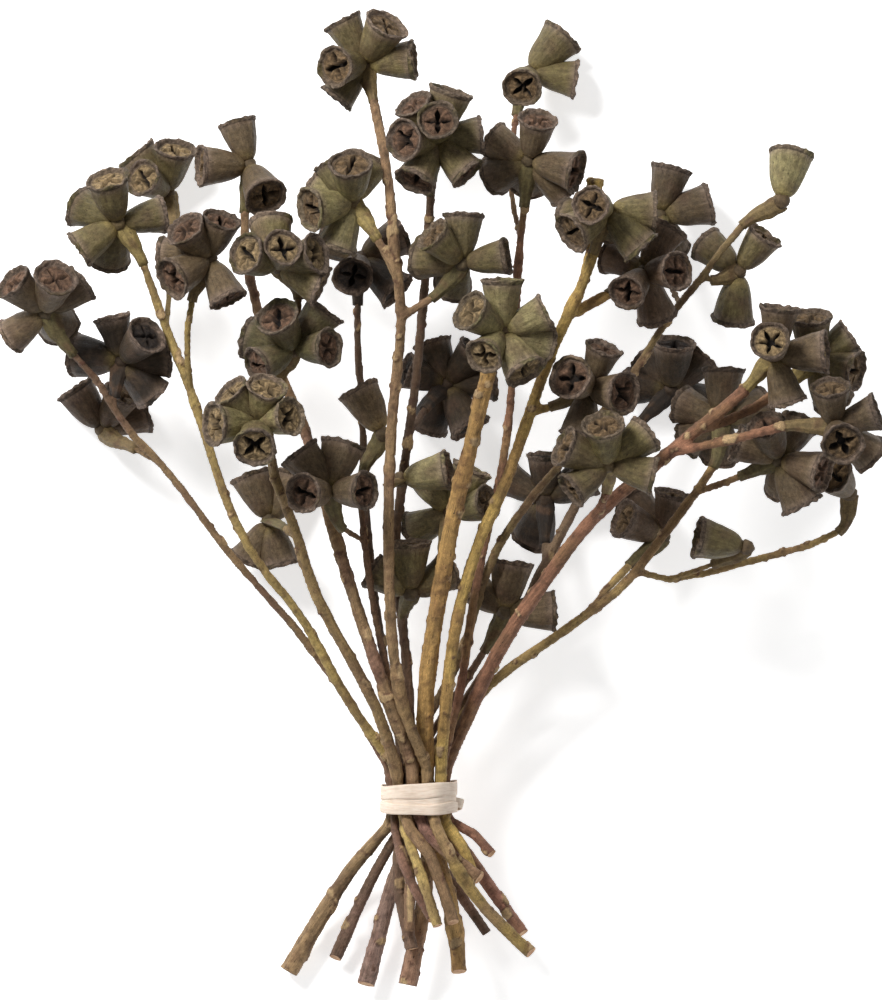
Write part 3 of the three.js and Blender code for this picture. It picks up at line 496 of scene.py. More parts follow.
def sweep(mesh: bmesh.types.BMesh, frames: list[Matrix], sides: int) -> list[bmesh.types.BMVert]:
    """Draws a unit circle through a row of frames as one closed rod.

    Args:
        mesh: The bmesh to add the rod to.
        frames: Where each section lies: x and y span the section, z runs along the rod.
        sides: How many sides the section has.

    Returns:
        The rod's vertices, a section at a time.
    """
    start = bmesh.ops.create_circle(mesh, cap_ends=True, segments=sides, radius=1.0)["verts"]
    bmesh.ops.transform(mesh, matrix=frames[0], verts=start)
    found = list(start)
    edges = list(dict.fromkeys(edge for vert in start for edge in vert.link_edges))
    for before, after in zip(frames, frames[1:]):
        made = bmesh.ops.extrude_edge_only(mesh, edges=edges)["geom"]
        ring = [item for item in made if isinstance(item, bmesh.types.BMVert)]
        edges = [item for item in made if isinstance(item, bmesh.types.BMEdge)]
        bmesh.ops.transform(mesh, matrix=after @ before.inverted(), verts=ring)
        found += ring
    bmesh.ops.contextual_create(mesh, geom=edges)
    faces = list(dict.fromkeys(face for vert in found for face in vert.link_faces))
    bmesh.ops.recalc_face_normals(mesh, faces=faces)
    return found


def frame_at(place: Vector, along: Vector, side: Vector, width: float, thickness: float) -> Matrix:
    """A section's frame, with its widths in its axes.

    Args:
        place: The section's centre.
        along: The direction of the rod there.
        side: Roughly the direction of the section's width.
        width: Half the section's width.
        thickness: Half the section's thickness.

    Returns:
        The frame as a matrix.
    """
    forward = along.normalized()
    across = (side - forward * side.dot(forward)).normalized()
    up = forward.cross(across)
    matrix = Matrix((across * width, up * thickness, forward)).transposed().to_4x4()
    matrix.translation = place
    return matrix


# ------------------------------------------------------------------ capsules
class Zone(Enum):
    """The parts of a capsule's surface, from the stalk to the middle of its mouth."""

    WALL = 0
    LIP = 1
    DISC = 2
    VALVE = 3


# A capsule's profile, zone by zone: shares of its mouth's radius and of its length.
PROFILE: dict[Zone, tuple[Span, ...]] = {
    Zone.WALL: ((0.0, 0.0), (0.17, 0.0), (0.27, 0.012), (0.37, 0.05), (0.48, 0.12),
                (0.575, 0.21), (0.65, 0.31), (0.71, 0.41), (0.76, 0.51), (0.80, 0.61),
                (0.84, 0.70), (0.875, 0.78), (0.905, 0.845), (0.925, 0.885)),
    Zone.LIP: ((0.93, 0.905), (0.965, 0.92), (0.965, 0.935), (1.0, 0.95), (1.0, 0.965),
               (1.02, 0.98), (1.0, 0.995), (0.965, 1.0), (0.935, 0.994), (0.905, 0.992),
               (0.88, 0.972), (0.86, 0.945)),
    Zone.DISC: ((0.83, 0.908), (0.79, 0.917), (0.755, 0.904), (0.72, 0.914), (0.68, 0.9)),
    Zone.VALVE: ((0.645, 0.906), (0.59, 0.909), (0.52, 0.912), (0.44, 0.915), (0.36, 0.918),
                 (0.28, 0.92), (0.2, 0.92), (0.12, 0.918), (0.06, 0.916), (0.0, 0.914)),
}


@dataclass(frozen=True)
class CapsuleShape:
    """One open capsule: a bell with a rolled lip, a sunken ringed disc and valves.

    Its slots start at a share of the mouth's radius, and are some millimetres deep.
    """

    valves: int
    columns: int = 14
    profile: tuple[tuple[float, float, Zone], ...] = tuple(
        (*point, zone) for zone, points in PROFILE.items() for point in points)
    slot_start: float = 0.67
    slot_depth: float = 4.4

    def blank(self) -> bpy.types.Mesh:
        """Spins the plain bell once, at a mouth radius and a length of 1.

        Returns:
            A mesh whose "ring" attribute says which profile point a vertex came from.
        """
        mesh = bmesh.new()
        ring = mesh.verts.layers.int.new("ring")
        points = []
        for index, (radius, height, _) in enumerate(self.profile):
            point = mesh.verts.new((radius, 0.0, height))
            point[ring] = index
            points.append(point)
        edges = [mesh.edges.new(pair) for pair in zip(points, points[1:])]
        bmesh.ops.spin(mesh, geom=points + edges, cent=(0, 0, 0), axis=(0, 0, 1), dvec=(0, 0, 0),
                       angle=math.tau, steps=self.valves * self.columns, use_merge=True,
                       use_duplicate=False)
        bmesh.ops.remove_doubles(mesh, verts=mesh.verts, dist=1e-5)
        bmesh.ops.recalc_face_normals(mesh, faces=mesh.faces)
        return as_data(mesh, f"blank_{self.valves}")

    def openness(self, radius: float, pinch: float, heart: float) -> float:
        """How much of the way round is open between two valves at a distance from the middle.

        Args:
            radius: The distance, as a share of the mouth's radius.
            pinch: How thin the arms of the star are: more is thinner.
            heart: Radius of the open middle, as a share of the mouth's radius.

        Returns:
            A share of 0 to 1.
        """
        share = (self.slot_start - radius) / (self.slot_start - heart)
        return min(1.0, max(0.0, share)) ** pinch


@dataclass(frozen=True)
class CapsuleLook:
    """Colours of one umbel's capsules and stalk, and how many valves each mouth has."""

    body: Tint
    valves: Valves
    stalk: Tint = Tint.TAN
    count: int = 4
    light: float = 1.0


# The unevenness of a capsule: shares of its radius on the wall and lip, else millimetres.
WALL_LUMPS = (Lumps(0.16, 0.06), Lumps(0.5, 0.018, 2))
LIP_LUMPS = (Lumps(0.55, 0.03, 7), Lumps(1.3, 0.022, 8))
LIP_WAVES = (Lumps(0.42, 0.8, 3), Lumps(1.2, 0.35, 4))
DISC_LUMPS = Lumps(0.6, 0.45, 5)
VALVE_LUMPS = Lumps(0.7, 0.4, 9)
SLOT_EDGE = Lumps(1.0, 0.3)
HEART_DEPTH = 0.85

# What its colours change with.
MOTTLE = Lumps(0.42, 0.3, 61)
VALVE_MOTTLE = Lumps(0.8, 0.2, 41)
STAINS = Patches(0.13, 0.05, 0.5, 20)
LIP_WEAR = Patches(0.13, 0.1, 0.5, 20)
LIP_CRACKS = Patches(1.1, -0.35, 0.45, 31)
MOUTH_SCARS = Patches(0.7, -0.4, 0.3, 51)


@dataclass
class Capsule:
    """One capsule where its solid lies."""

    rim: Vector
    axis: Vector
    size: float
    seed: int

    @property
    def length(self) -> float:
        """Length from the pedicel to the mouth's plane, in metres."""
        return CAPSULE_LENGTH * self.size * MM

    @property
    def base(self) -> Vector:
        """Where the bell starts."""
        return self.rim - self.axis * self.length

    @property
    def hub(self) -> Vector:
        """The middle of the knob that the capsule grows from."""
        return self.base - self.axis * PEDICEL * MM

    def holds(self, point: Vector) -> bool:
        """Whether a point lies on or in the capsule's solid."""
        offset = point - self.base
        height = offset.dot(self.axis)
        share = min(1.0, max(0.0, height / self.length))
        wide = BELL_FOOT_RADIUS + (MOUTH_RADIUS - BELL_FOOT_RADIUS) * share ** 0.6
        reach = wide * self.size * MM + 1.0 * MM
        return (-0.6 * MM < height < self.length + 1 * MM
                and (offset - self.axis * height).length < reach)

    def build(self, shape: CapsuleShape, blank: bpy.types.Mesh,
              look: CapsuleLook) -> bmesh.types.BMesh:
        """Shapes and paints the capsule.

        Args:
            shape: The capsule's shape.
            blank: The plain bell to start from.
            look: Its colours.

        Returns:
            The finished bmesh, where the capsule lies.
        """
        draw = random.Random(self.seed)
        mesh = bmesh.new()
        mesh.from_mesh(blank)
        made = Sculpture(mesh)
        ring = mesh.verts.layers.int["ring"]
        roll = draw.uniform(0, math.tau)
        turn = self.axis.to_track_quat("Z", "Y").to_matrix().to_4x4()
        place = Matrix.Translation(self.base) @ (turn @ Matrix.Rotation(roll, 4, "Z"))
        radius = MOUTH_RADIUS * self.size * MM
        pinches = [draw.uniform(0.6, 1.25) for _ in range(shape.valves)]
        lifts = [draw.uniform(0.0, 1.0) for _ in range(shape.valves)]
        heart = draw.uniform(0.1, 0.24)
        oval = draw.uniform(0.93, 1.03)
        flare = draw.uniform(-0.05, 0.05)
        colours = self.colours(draw, look)
        period = math.tau / shape.valves
        offset = draw.uniform(0, 100)
        for vert in mesh.verts:
            share, height, zone = shape.profile[vert[ring]]
            angle = math.atan2(vert.co.y, vert.co.x)
            drop = 0.0
            cell = int((angle % math.tau) / period + 0.01) % shape.valves
            if zone is Zone.VALVE and share > heart:
                opening = shape.openness(share, pinches[cell], heart)
                opening *= 0.94 + SLOT_EDGE.at(Vector((share * 5, cell * 3.7, offset)), 0.0)
                angle, drop = self.valve_place(shape, angle, min(0.95, opening), period)
            elif share <= heart:
                drop = shape.slot_depth * HEART_DEPTH
            spin = Vector((math.cos(angle), math.sin(angle), 0.0))
            probe = Vector((spin.x * share * 8, spin.y * share * 8, height * 18))
            bulge = 1.0 + flare * math.sin(math.pi * min(height, 1.0))
            ribs = math.sin(angle * 11 + offset) * 0.012 + math.sin(angle * 4 + offset * 3) * 0.022
            uneven = ribs + summed(WALL_LUMPS, probe, offset)
            reach = share * bulge * (1.0 + uneven * eased(share, 0.1, 0.5))
            tall = height * self.length
            if zone is Zone.LIP:
                reach += summed(LIP_LUMPS, probe, offset)
                tall += summed(LIP_WAVES, probe, offset) * eased(height, 0.9, 0.97) * MM
            elif zone is Zone.DISC:
                tall += (DISC_LUMPS.at(probe, offset) + math.sin(angle * 15 + offset) * 0.12) * MM
            elif zone is Zone.VALVE and drop > 0:
                tall -= drop * MM
            elif zone is Zone.VALVE:
                tip = 1 - share / shape.slot_start
                valve = round((angle % math.tau) / period) % shape.valves
                tall += (lifts[valve] * tip + VALVE_LUMPS.at(probe, offset)) * MM
            across = Vector((spin.x * share * 8, spin.y * share * 8, height * 2.6))
            colour = self.paint(zone, share, height, angle, drop, colours, probe, offset)
            made.dress(vert, colour, across + Vector((offset,) * 3))
            reach *= radius
            vert.co = place @ Vector((spin.x * reach, spin.y * reach * oval, tall))
        for face in mesh.faces:
            zones = [shape.profile[vert[ring]][2] for vert in face.verts]
            face.material_index = 0 if Zone.WALL in zones else 1
        mesh.verts.layers.int.remove(ring)
        return mesh

    @staticmethod
    def valve_place(shape: CapsuleShape, angle: float, opening: float,
                    period: float) -> tuple[float, float]:
        """Moves a column of the mouth to the edge of its slot, or down into it.

        Args:
            shape: The capsule's shape.
            angle: The column's even angle.
            opening: How much of the way from valve to valve is open here.
            period: The angle from one valve to the next.

        Returns:
            The column's new angle and its depth in millimetres.
        """
        half = shape.columns // 2
        step = round((angle % math.tau) / (period / shape.columns))
        cell, column = divmod(step, shape.columns)
        from_slot = column - half
        middle = (cell + 0.5) * period
        if opening <= 0:
            return angle, 0.0
        spread = opening * period / 2
        side = math.copysign(1, from_slot)
        near = abs(from_slot)
        if near <= 1:
            depth = shape.slot_depth * (0.35 + 0.65 * min(1.0, 2 * opening))
            return middle + side * near * spread * 0.93, depth
        spare = (period / 2 - spread) * (near - 2) / (half - 2)
        return middle + side * (spread + spare), 0.0

    @staticmethod
    def colours(draw: random.Random, look: CapsuleLook) -> dict[str, Rgb]:
        """This capsule's own shades of its umbel's colours, and the near-black painted shade of its
        slots.
        """
        light = look.light * draw.uniform(0.78, 1.16)
        body = shaded(mixed(look.body.value, Tint.GREY_BROWN.value, draw.uniform(0.0, 0.35)), light)
        return {
            "body": body,
            "base": shaded(mixed(Tint.YELLOW.value, body, draw.uniform(0.35, 0.9)), light),
            "stain": shaded(mixed(body, rgb(92, 70, 56), draw.uniform(0.4, 0.8)), 0.9),
            "lip": shaded(mixed(rgb(138, 118, 103), body, draw.uniform(0.1, 0.35)), light),
            "valve": shaded(look.valves.value, draw.uniform(0.8, 1.1) * look.light),
            # Painted shade: the near-black of the slots and of the open middle of the mouth, where
            # the capsule's inside lies in shadow.
            "dark": rgb(22, 16, 13),
        }

    @staticmethod
    def paint(zone: Zone, share: float, height: float, angle: float, drop: float,
              colours: dict[str, Rgb], probe: Vector, offset: float) -> Rgb:
        """Colours one point of the capsule.

        Args:
            zone: Which part of the surface it is on.
            share: Distance from the axis, as a share of the mouth's radius.
            height: Height as a share of the length.
            angle: Angle around the axis.
            drop: How deep it lies in a slot, in millimetres.
            colours: The capsule's shades.
            probe: The point's place in millimetres, for patches.
            offset: The capsule's own place in the noise.

        Returns:
            The linear colour.
        """
        if zone is Zone.WALL:
            colour = mixed(colours["base"], colours["body"], eased(height, 0.0, 0.3))
            colour = mixed(colour, colours["stain"], STAINS.at(probe, offset) * 0.7)
            colour = mixed(colour, colours["lip"], eased(height, 0.72, 0.9) * 0.6)
            streak = 1 + 0.1 * math.sin(angle * 17 + offset) * eased(height, 0.1, 0.4)
            return shaded(colour, streak * (1 + MOTTLE.at(probe, offset)))
        if zone is Zone.LIP:
            # Painted shade: the lip is darker in the groove at its foot, where it meets the wall.
            painted_groove_shade = 0.55 + 0.45 * eased(abs(height - 0.9), 0.0, 0.03)
            crack = 0.5 + 0.8 * LIP_CRACKS.at(probe, offset)
            colour = mixed(colours["lip"], colours["body"], LIP_WEAR.at(probe, offset))
            return shaded(colour, painted_groove_shade * crack)
        # Painted shade: whatever is sunk in a slot or in the open middle is coloured near-black.
        if drop > 0:
            return colours["dark"]
        rings = 0.8 + 0.26 * math.cos(share * 78)
        tone = mixed(colours["lip"], colours["valve"], eased(share, 0.86, 0.66))
        if zone is Zone.VALVE:
            tone = colours["valve"]
            rings = 0.85 + 0.2 * math.sin(angle * 15 + offset) + VALVE_MOTTLE.at(probe, offset)
        scar = 0.55 + 0.6 * MOUTH_SCARS.at(probe, offset)
        return shaded(tone, rings * scar)


def find_capsules(solid: bmesh.types.BMesh, seed: int) -> list[Capsule]:
    """Finds the capsules of an umbel by the sunken middles of their mouths.

    Args:
        solid: The umbel's CAD mesh, merged.
        seed: Number that the capsules' own seeds start from.

    Returns:
        The capsules.
    """
    found = []
    for vert in solid.verts:
        if len(vert.link_edges) != SOLID_SIDES:
            continue
        corners = [edge.other_vert(vert).co for edge in vert.link_edges]
        middle = sum(corners, Vector()) / SOLID_SIDES
        reaches = [(corner - middle).length for corner in corners]
        mean = sum(reaches) / SOLID_SIDES
        even = max(abs(reach - mean) for reach in reaches) < EVEN_WITHIN * mean
        sunk = (middle - vert.co).length
        size = mean / (MOUTH_RADIUS * MM)
        if even and MOUTH_SIZES[0] < size < MOUTH_SIZES[1] and SUNK[0] < sunk / MM < SUNK[1]:
            axis = (middle - vert.co).normalized()
            found.append(Capsule(middle, axis, size, seed + len(found)))
    return found


# ------------------------------------------------------------------ umbels
STALK_FINISH = 2
KNOB_LUMPS = Lumps(0.55, 1.0)
STALK_LUMPS = Lumps(0.35, 0.16)
STALK_BLOTS = Patches(0.22, 0.1, 0.5, 9)


def curve(start: Vector, leave: Vector, end: Vector, arrive: Vector,
          t: float) -> tuple[Vector, Vector]:
    """A point of a smooth curve between two ends.

    Args:
        start: Where it starts.
        leave: Which way and how strongly it leaves the start.
        end: Where it ends.
        arrive: Which way and how strongly it arrives there.
        t: How far along it the point is, from 0 to 1.

    Returns:
        The point, and the curve's direction there.
    """
    place = (start * (2 * t**3 - 3 * t**2 + 1) + leave * (t**3 - 2 * t**2 + t)
             + end * (3 * t**2 - 2 * t**3) + arrive * (t**3 - t**2))
    along = (start * (6 * t**2 - 6 * t) + leave * (3 * t**2 - 4 * t + 1)
             + end * (6 * t - 6 * t**2) + arrive * (3 * t**2 - 2 * t))
    return place, along


@dataclass
class Umbel:
    """Capsules on one knob, with the flattened stalk that carries them."""

    name: str
    look: CapsuleLook
    seed: int
    sections: int = 16
    sides: int = 22
    knob_radius: float = 3.0
    foot_reach: float = 3.4
    foot_overlap: float = 1.2
    half_width: float = 1.75
    widening: float = 1.35
    half_thickness: float = 1.35
    knob_stain: Rgb = rgb(96, 76, 58)
    stalk_stain: Rgb = rgb(104, 76, 54)

    @property
    def node(self) -> str:
        """The CAD node that the umbel stands for."""
        return f"capsules_{self.name}"

    def build(self, shapes: dict[int, tuple[CapsuleShape, bpy.types.Mesh]],
              materials: list[bpy.types.Material]) -> bpy.types.Object:
        """Builds the capsules, the knob and the stalk as one piece.

        Args:
            shapes: For each number of valves, the capsule's shape and its blank.
            materials: Wall, mouth and stalk materials.

        Returns:
            The piece.
        """
        solid = merged_copy(self.node)
        capsules = find_capsules(solid, self.seed * 10)
        if not capsules:
            raise ValueError(f"{self.node} has no capsule mouth")
        hub = sum((capsule.hub for capsule in capsules), Vector()) / len(capsules)
        whole = Sculpture()
        for capsule in capsules:
            shape, blank = shapes[self.look.count]
            whole.add(capsule.build(shape, blank, self.look))
        foot = self.find_foot(solid, hub, capsules)
        solid.free()
        whole.add(self.knob(hub))
        whole.add(self.stalk(foot, hub, capsules))
        return whole.finish(f"umbel_{self.name}", self.node, materials)

    def find_foot(self, solid: bmesh.types.BMesh, hub: Vector,
                  capsules: list[Capsule]) -> tuple[Vector, Vector, Vector]:
        """Finds the flat cap where the stalk meets the wood.

        Args:
            solid: The umbel's CAD mesh, merged.
            hub: The middle of its knob.
            capsules: The umbel's capsules, whose corners don't count.

        Returns:
            The cap's middle, the way that it faces and the way that it is widest.
        """
        own = [vert for vert in solid.verts if not any(c.holds(vert.co) for c in capsules)]
        tip = max(own, key=lambda vert: (vert.co - hub).length).co.copy()
        away = (tip - hub).normalized()
        near = [face for face in solid.faces if face.normal.dot(away) > 0.5
                and (face.calc_center_median() - tip).length < self.foot_reach * MM]
        facing = sum((face.normal * face.calc_area() for face in near), Vector()).normalized()
        corners = list(dict.fromkeys(vert for face in near for vert in face.verts))
        middle = sum((vert.co for vert in corners), Vector()) / len(corners)
        widest = max(corners, key=lambda vert: (vert.co - middle).length).co - middle
        return middle, facing, widest.normalized()

    def knob(self, hub: Vector) -> bmesh.types.BMesh:
        """The scarred knob that the capsules sit on."""
        mesh = bmesh.new()
        made = Sculpture(mesh)
        bmesh.ops.create_icosphere(mesh, subdivisions=3, radius=self.knob_radius * MM)
        tone = shaded(mixed(self.look.stalk.value, self.knob_stain, 0.6), 0.8)
        for vert in mesh.verts:
            probe = vert.co / MM
            lump = KNOB_LUMPS.at(probe, self.seed * 1.7)
            vert.co = hub + vert.co * (1 + lump * 0.22)
            # Painted shade: the knob is coloured darker in its dents and lighter on its bumps.
            made.dress(vert, shaded(tone, 0.85 + 0.3 * lump), probe + Vector((self.seed, 0, 0)))
        for face in mesh.faces:
            face.material_index = STALK_FINISH
        return mesh

    def stalk(self, foot: tuple[Vector, Vector, Vector], hub: Vector,
              capsules: list[Capsule]) -> bmesh.types.BMesh:
        """The flattened, ribbed stalk from the wood to the knob.

        Args:
            foot: The middle of its foot, the way that it faces and its widest way.
            hub: The middle of the knob.
            capsules: The capsules, which the stalk widens towards.

        Returns:
            The stalk as a bmesh.
        """
        start, facing, side = foot
        reach = (hub - start).length
        spread = sum((capsule.axis for capsule in capsules), Vector())
        towards = (hub - start).normalized() * 2 + spread.normalized() * 0.5
        ahead = towards.normalized() * reach
        leave = -facing * reach
        across = side
        frames = []
        for step in range(self.sections + 1):
            t = step / self.sections
            place, along = curve(start, leave, hub, ahead, t)
            if step == 0:
                place = start + facing * self.foot_overlap * MM
            width = (self.half_width + self.widening * eased(t, 0.0, 0.8)) * MM
            thick = (self.half_thickness + 0.15 * math.sin(t * 9 + self.seed)) * MM
            frames.append(frame_at(place, along, across, width, thick))
            across = frames[-1].to_3x3().col[0]
        mesh = bmesh.new()
        made = Sculpture(mesh)
        verts = sweep(mesh, frames, self.sides)
        tone = self.look.stalk.value
        for index, vert in enumerate(verts):
            step = index // self.sides
            t = step / self.sections
            local = frames[step].inverted() @ vert.co
            angle = math.atan2(local.y, local.x)
            probe = Vector((local.x * 3, local.y * 1.5, t * reach / MM))
            ridge = 0.1 * math.cos(angle * 6 + 0.6) + STALK_LUMPS.at(probe, self.seed)
            flat = 1 + 0.08 * abs(math.cos(angle)) ** 6
            swell = 1 + ridge
            vert.co = frames[step] @ Vector((local.x * swell * flat, local.y * swell, 0))
            colour = mixed(tone, self.stalk_stain, STALK_BLOTS.at(probe, self.seed) * 0.6)
            # Painted shade: the stalk is coloured darker in the grooves between its ribs and
            # lighter on the ribs.
            shade = 0.92 + 1.6 * min(0.06, max(-0.1, ridge))
            grain = Vector((local.x * 3, local.y * 1.5, t * reach / MM * 0.14 + self.seed))
            made.dress(vert, shaded(colour, shade), grain)
        for face in mesh.faces:
            face.material_index = STALK_FINISH
        return mesh


# ------------------------------------------------------------------ stems
@dataclass(frozen=True)
class BarkLook:
    """Colours of one stem: the bark, the patches on it, and how it fades towards the cut end.

    Between the two y values of bare, in millimetres, a strip of its bark is split off.
    """

    bark: Rgb
    patch: Rgb
    low: Rgb
    bare: tuple[float, float] = (0.0, 0.0)


# The unevenness of the bark, and what its colours change with.
BARK_LUMPS = Lumps(0.085, 1.0)
BARK_RIDGES = Lumps(0.9, 1.0, 9)
BARK_PITS = Lumps(0.42, 1.0, 13)
KNUCKLES = Patches(0.07, 0.35, 0.6, 5)
BARK_PATCHES = Patches(0.05, -0.1, 0.35, 17)
BARK_SPOTS = Patches(0.3, 0.12, 0.4, 23)
SCAR_SWELLING = Patches(0.2, 0.36, 0.5, 31)
SCAR_RIMS = Patches(0.2, 0.38, 0.43, 31)
SCAR_HEARTS = Patches(0.2, 0.46, 0.5, 31)


@dataclass
class Stem:
    """One woody stem with its side branches."""

    name: str
    look: BarkLook
    seed: int
    voxel: float = 0.85 * MM
    smoothing: int = 5
    regain: float = 0.22 * MM
    cut_back: float = 0.8 * MM
    stain: Rgb = rgb(92, 60, 46)
    inner_wood: Rgb = rgb(198, 168, 124)
    slant: float = 0.55
    foot_reach: float = 9 * MM
    cut_reach: float = 8 * MM
    rim_width: float = 0.35 * MM
    rim_depth: float = 0.12 * MM

    @property
    def node(self) -> str:
        """The CAD node that the stem stands for."""
        return f"stem_{self.name}"

    def build(self, materials: list[bpy.types.Material]) -> bpy.types.Object:
        """Remeshes the solid finely, gives it bark, and cuts its foot clean.

        Args:
            materials: Bark and cut wood.

        Returns:
            The piece.
        """
        solid = merged_copy(self.node)
        cut, square = self.find_cut(solid)
        lean = self.slant * (0.6 + 0.5 * math.sin(self.seed * 2.3))
        facing = (square + Vector((0, 0, lean))).normalized()
        low = min(vert.co.y for vert in solid.verts)
        high = max(vert.co.y for vert in solid.verts)
        fine = self.remeshed(solid)
        made = Sculpture(fine)
        for _ in range(self.smoothing):
            bmesh.ops.smooth_vert(fine, verts=fine.verts, factor=0.5, use_axis_x=True,
                                  use_axis_y=True, use_axis_z=True)
        fine.normal_update()
        self.add_bark(made, low, high)
        bmesh.ops.bisect_plane(fine, geom=list(fine.verts) + list(fine.edges) + list(fine.faces),
                               plane_co=cut - facing * self.cut_back, plane_no=facing,
                               clear_outer=False, clear_inner=False)
        self.cap_foot(made, cut, facing)
        return made.finish(f"branch_{self.name}", self.node, materials)

    def find_cut(self, solid: bmesh.types.BMesh) -> tuple[Vector, Vector]:
        """Finds the flat cut at the stem's foot.

        Args:
            solid: The stem's CAD mesh, merged.

        Returns:
            The middle of the cut and the way that it faces.
        """
        down = Vector((0, -1, 0))
        faces = [face for face in solid.faces if face.normal.dot(down) > 0.45]
        lowest = min(faces, key=lambda face: face.calc_center_median().y - face.calc_area() * 2)
        foot = lowest.calc_center_median()
        flat = [face for face in solid.faces if face.normal.dot(lowest.normal) > 0.999
                and (face.calc_center_median() - foot).length < self.cut_reach]
        area = sum(face.calc_area() for face in flat)
        weighed = (face.calc_center_median() * face.calc_area() for face in flat)
        return sum(weighed, Vector()) / area, lowest.normal.copy()

    def remeshed(self, solid: bmesh.types.BMesh) -> bmesh.types.BMesh:
        """Turns a bmesh into one of small even faces, and frees it."""
        data = as_data(solid, "rough_stem")
        holder = placed("rough_stem", data)
        remesh = holder.modifiers.new("fine", "REMESH")
        remesh.mode = "VOXEL"
        remesh.voxel_size = self.voxel
        shown = holder.evaluated_get(bpy.context.evaluated_depsgraph_get())
        fine = bmesh.new()
        fine.from_mesh(shown.to_mesh())
        bpy.data.objects.remove(holder)
        bpy.data.meshes.remove(data)
        return fine

    def add_bark(self, made: Sculpture, low: float, high: float) -> None:
        """Swells, wrinkles and paints the stem.

        Args:
            made: The stem's fine mesh.
            low: The y of its lowest point.
            high: The y of its highest point.
        """
        shift = self.seed * 3.1
        start, end = self.look.bare
        for vert in made.mesh.verts:
            point = vert.co / MM
            normal = vert.normal.copy()
            grain = normal * 4.2 + Vector((shift, point.y * 0.11, -shift))
            lumps = BARK_LUMPS.at(point, shift)
            ridges = BARK_RIDGES.at(grain, shift)
            pits = min(0.0, BARK_PITS.at(point, shift) + 0.24)
            knuckle = KNUCKLES.at(Vector((point.y, shift, 0)), shift)
            push = self.regain + (lumps * 0.25 + knuckle * 0.45 + ridges * 0.26 + pits * 0.35
                                  + SCAR_SWELLING.at(point, shift) * 0.55) * MM
            share = (vert.co.y - low) / (high - low)
            stained = max(BARK_SPOTS.at(point, shift) * 0.4, SCAR_RIMS.at(point, shift) * 0.9)
            colour = mixed(self.look.low, self.look.bark, eased(share, 0.0, 0.45))
            colour = mixed(colour, self.look.patch, BARK_PATCHES.at(point, shift) * 0.8)
            colour = mixed(colour, self.stain, stained)
            colour = mixed(colour, self.inner_wood, SCAR_HEARTS.at(point, shift) * 0.8)
            if start < point.y < end and normal.z > 0.45 and abs(normal.x) < 0.5:
                colour = self.inner_wood
            # Partly painted shade: the bark is coloured darker in its grooves and dents and lighter
            # on its ridges and lumps; its pits are darker both as real dark marks and as painted
            # shade.
            shade = 1.0 + lumps * 0.12 + ridges * 0.5 + pits * 0.8
            made.dress(vert, shaded(colour, max(0.3, shade)), grain)
            vert.co += normal * push

    def cap_foot(self, made: Sculpture, cut: Vector, facing: Vector) -> None:
        """Takes off what stands past the cut, and closes it with pale wood.

        Args:
            made: The stem's mesh, already split along the cut's plane.
            cut: The middle of the cut.
            facing: The way that the cut faces.
        """
        plane = cut - facing * self.cut_back
        past = [face for face in made.mesh.faces
                if (face.calc_center_median() - plane).dot(facing) > 1e-6
                and (face.calc_center_median() - cut).length < self.foot_reach]
        if not past:
            return
        bmesh.ops.delete(made.mesh, geom=past, context="FACES")
        rim = [edge for edge in made.mesh.edges if edge.is_boundary]
        caps = bmesh.ops.holes_fill(made.mesh, edges=rim, sides=0)["faces"]
        inner = bmesh.ops.inset_region(made.mesh, faces=caps, thickness=self.rim_width,
                                       depth=-self.rim_depth)["faces"]
        for face in caps + inner:
            face.material_index = 1


# ------------------------------------------------------------------ the tie
@dataclass(frozen=True)
class Turn:
    """One turn of the band, in millimetres.

    It has a height along the stems, half its width, how far it rises from left to right, how far
    its middle hangs down, how far it stands out, and a number that sets its unevenness.
    """

    level: float
    half: float
    tilt: float
    sag: float
    stand: float
    number: int


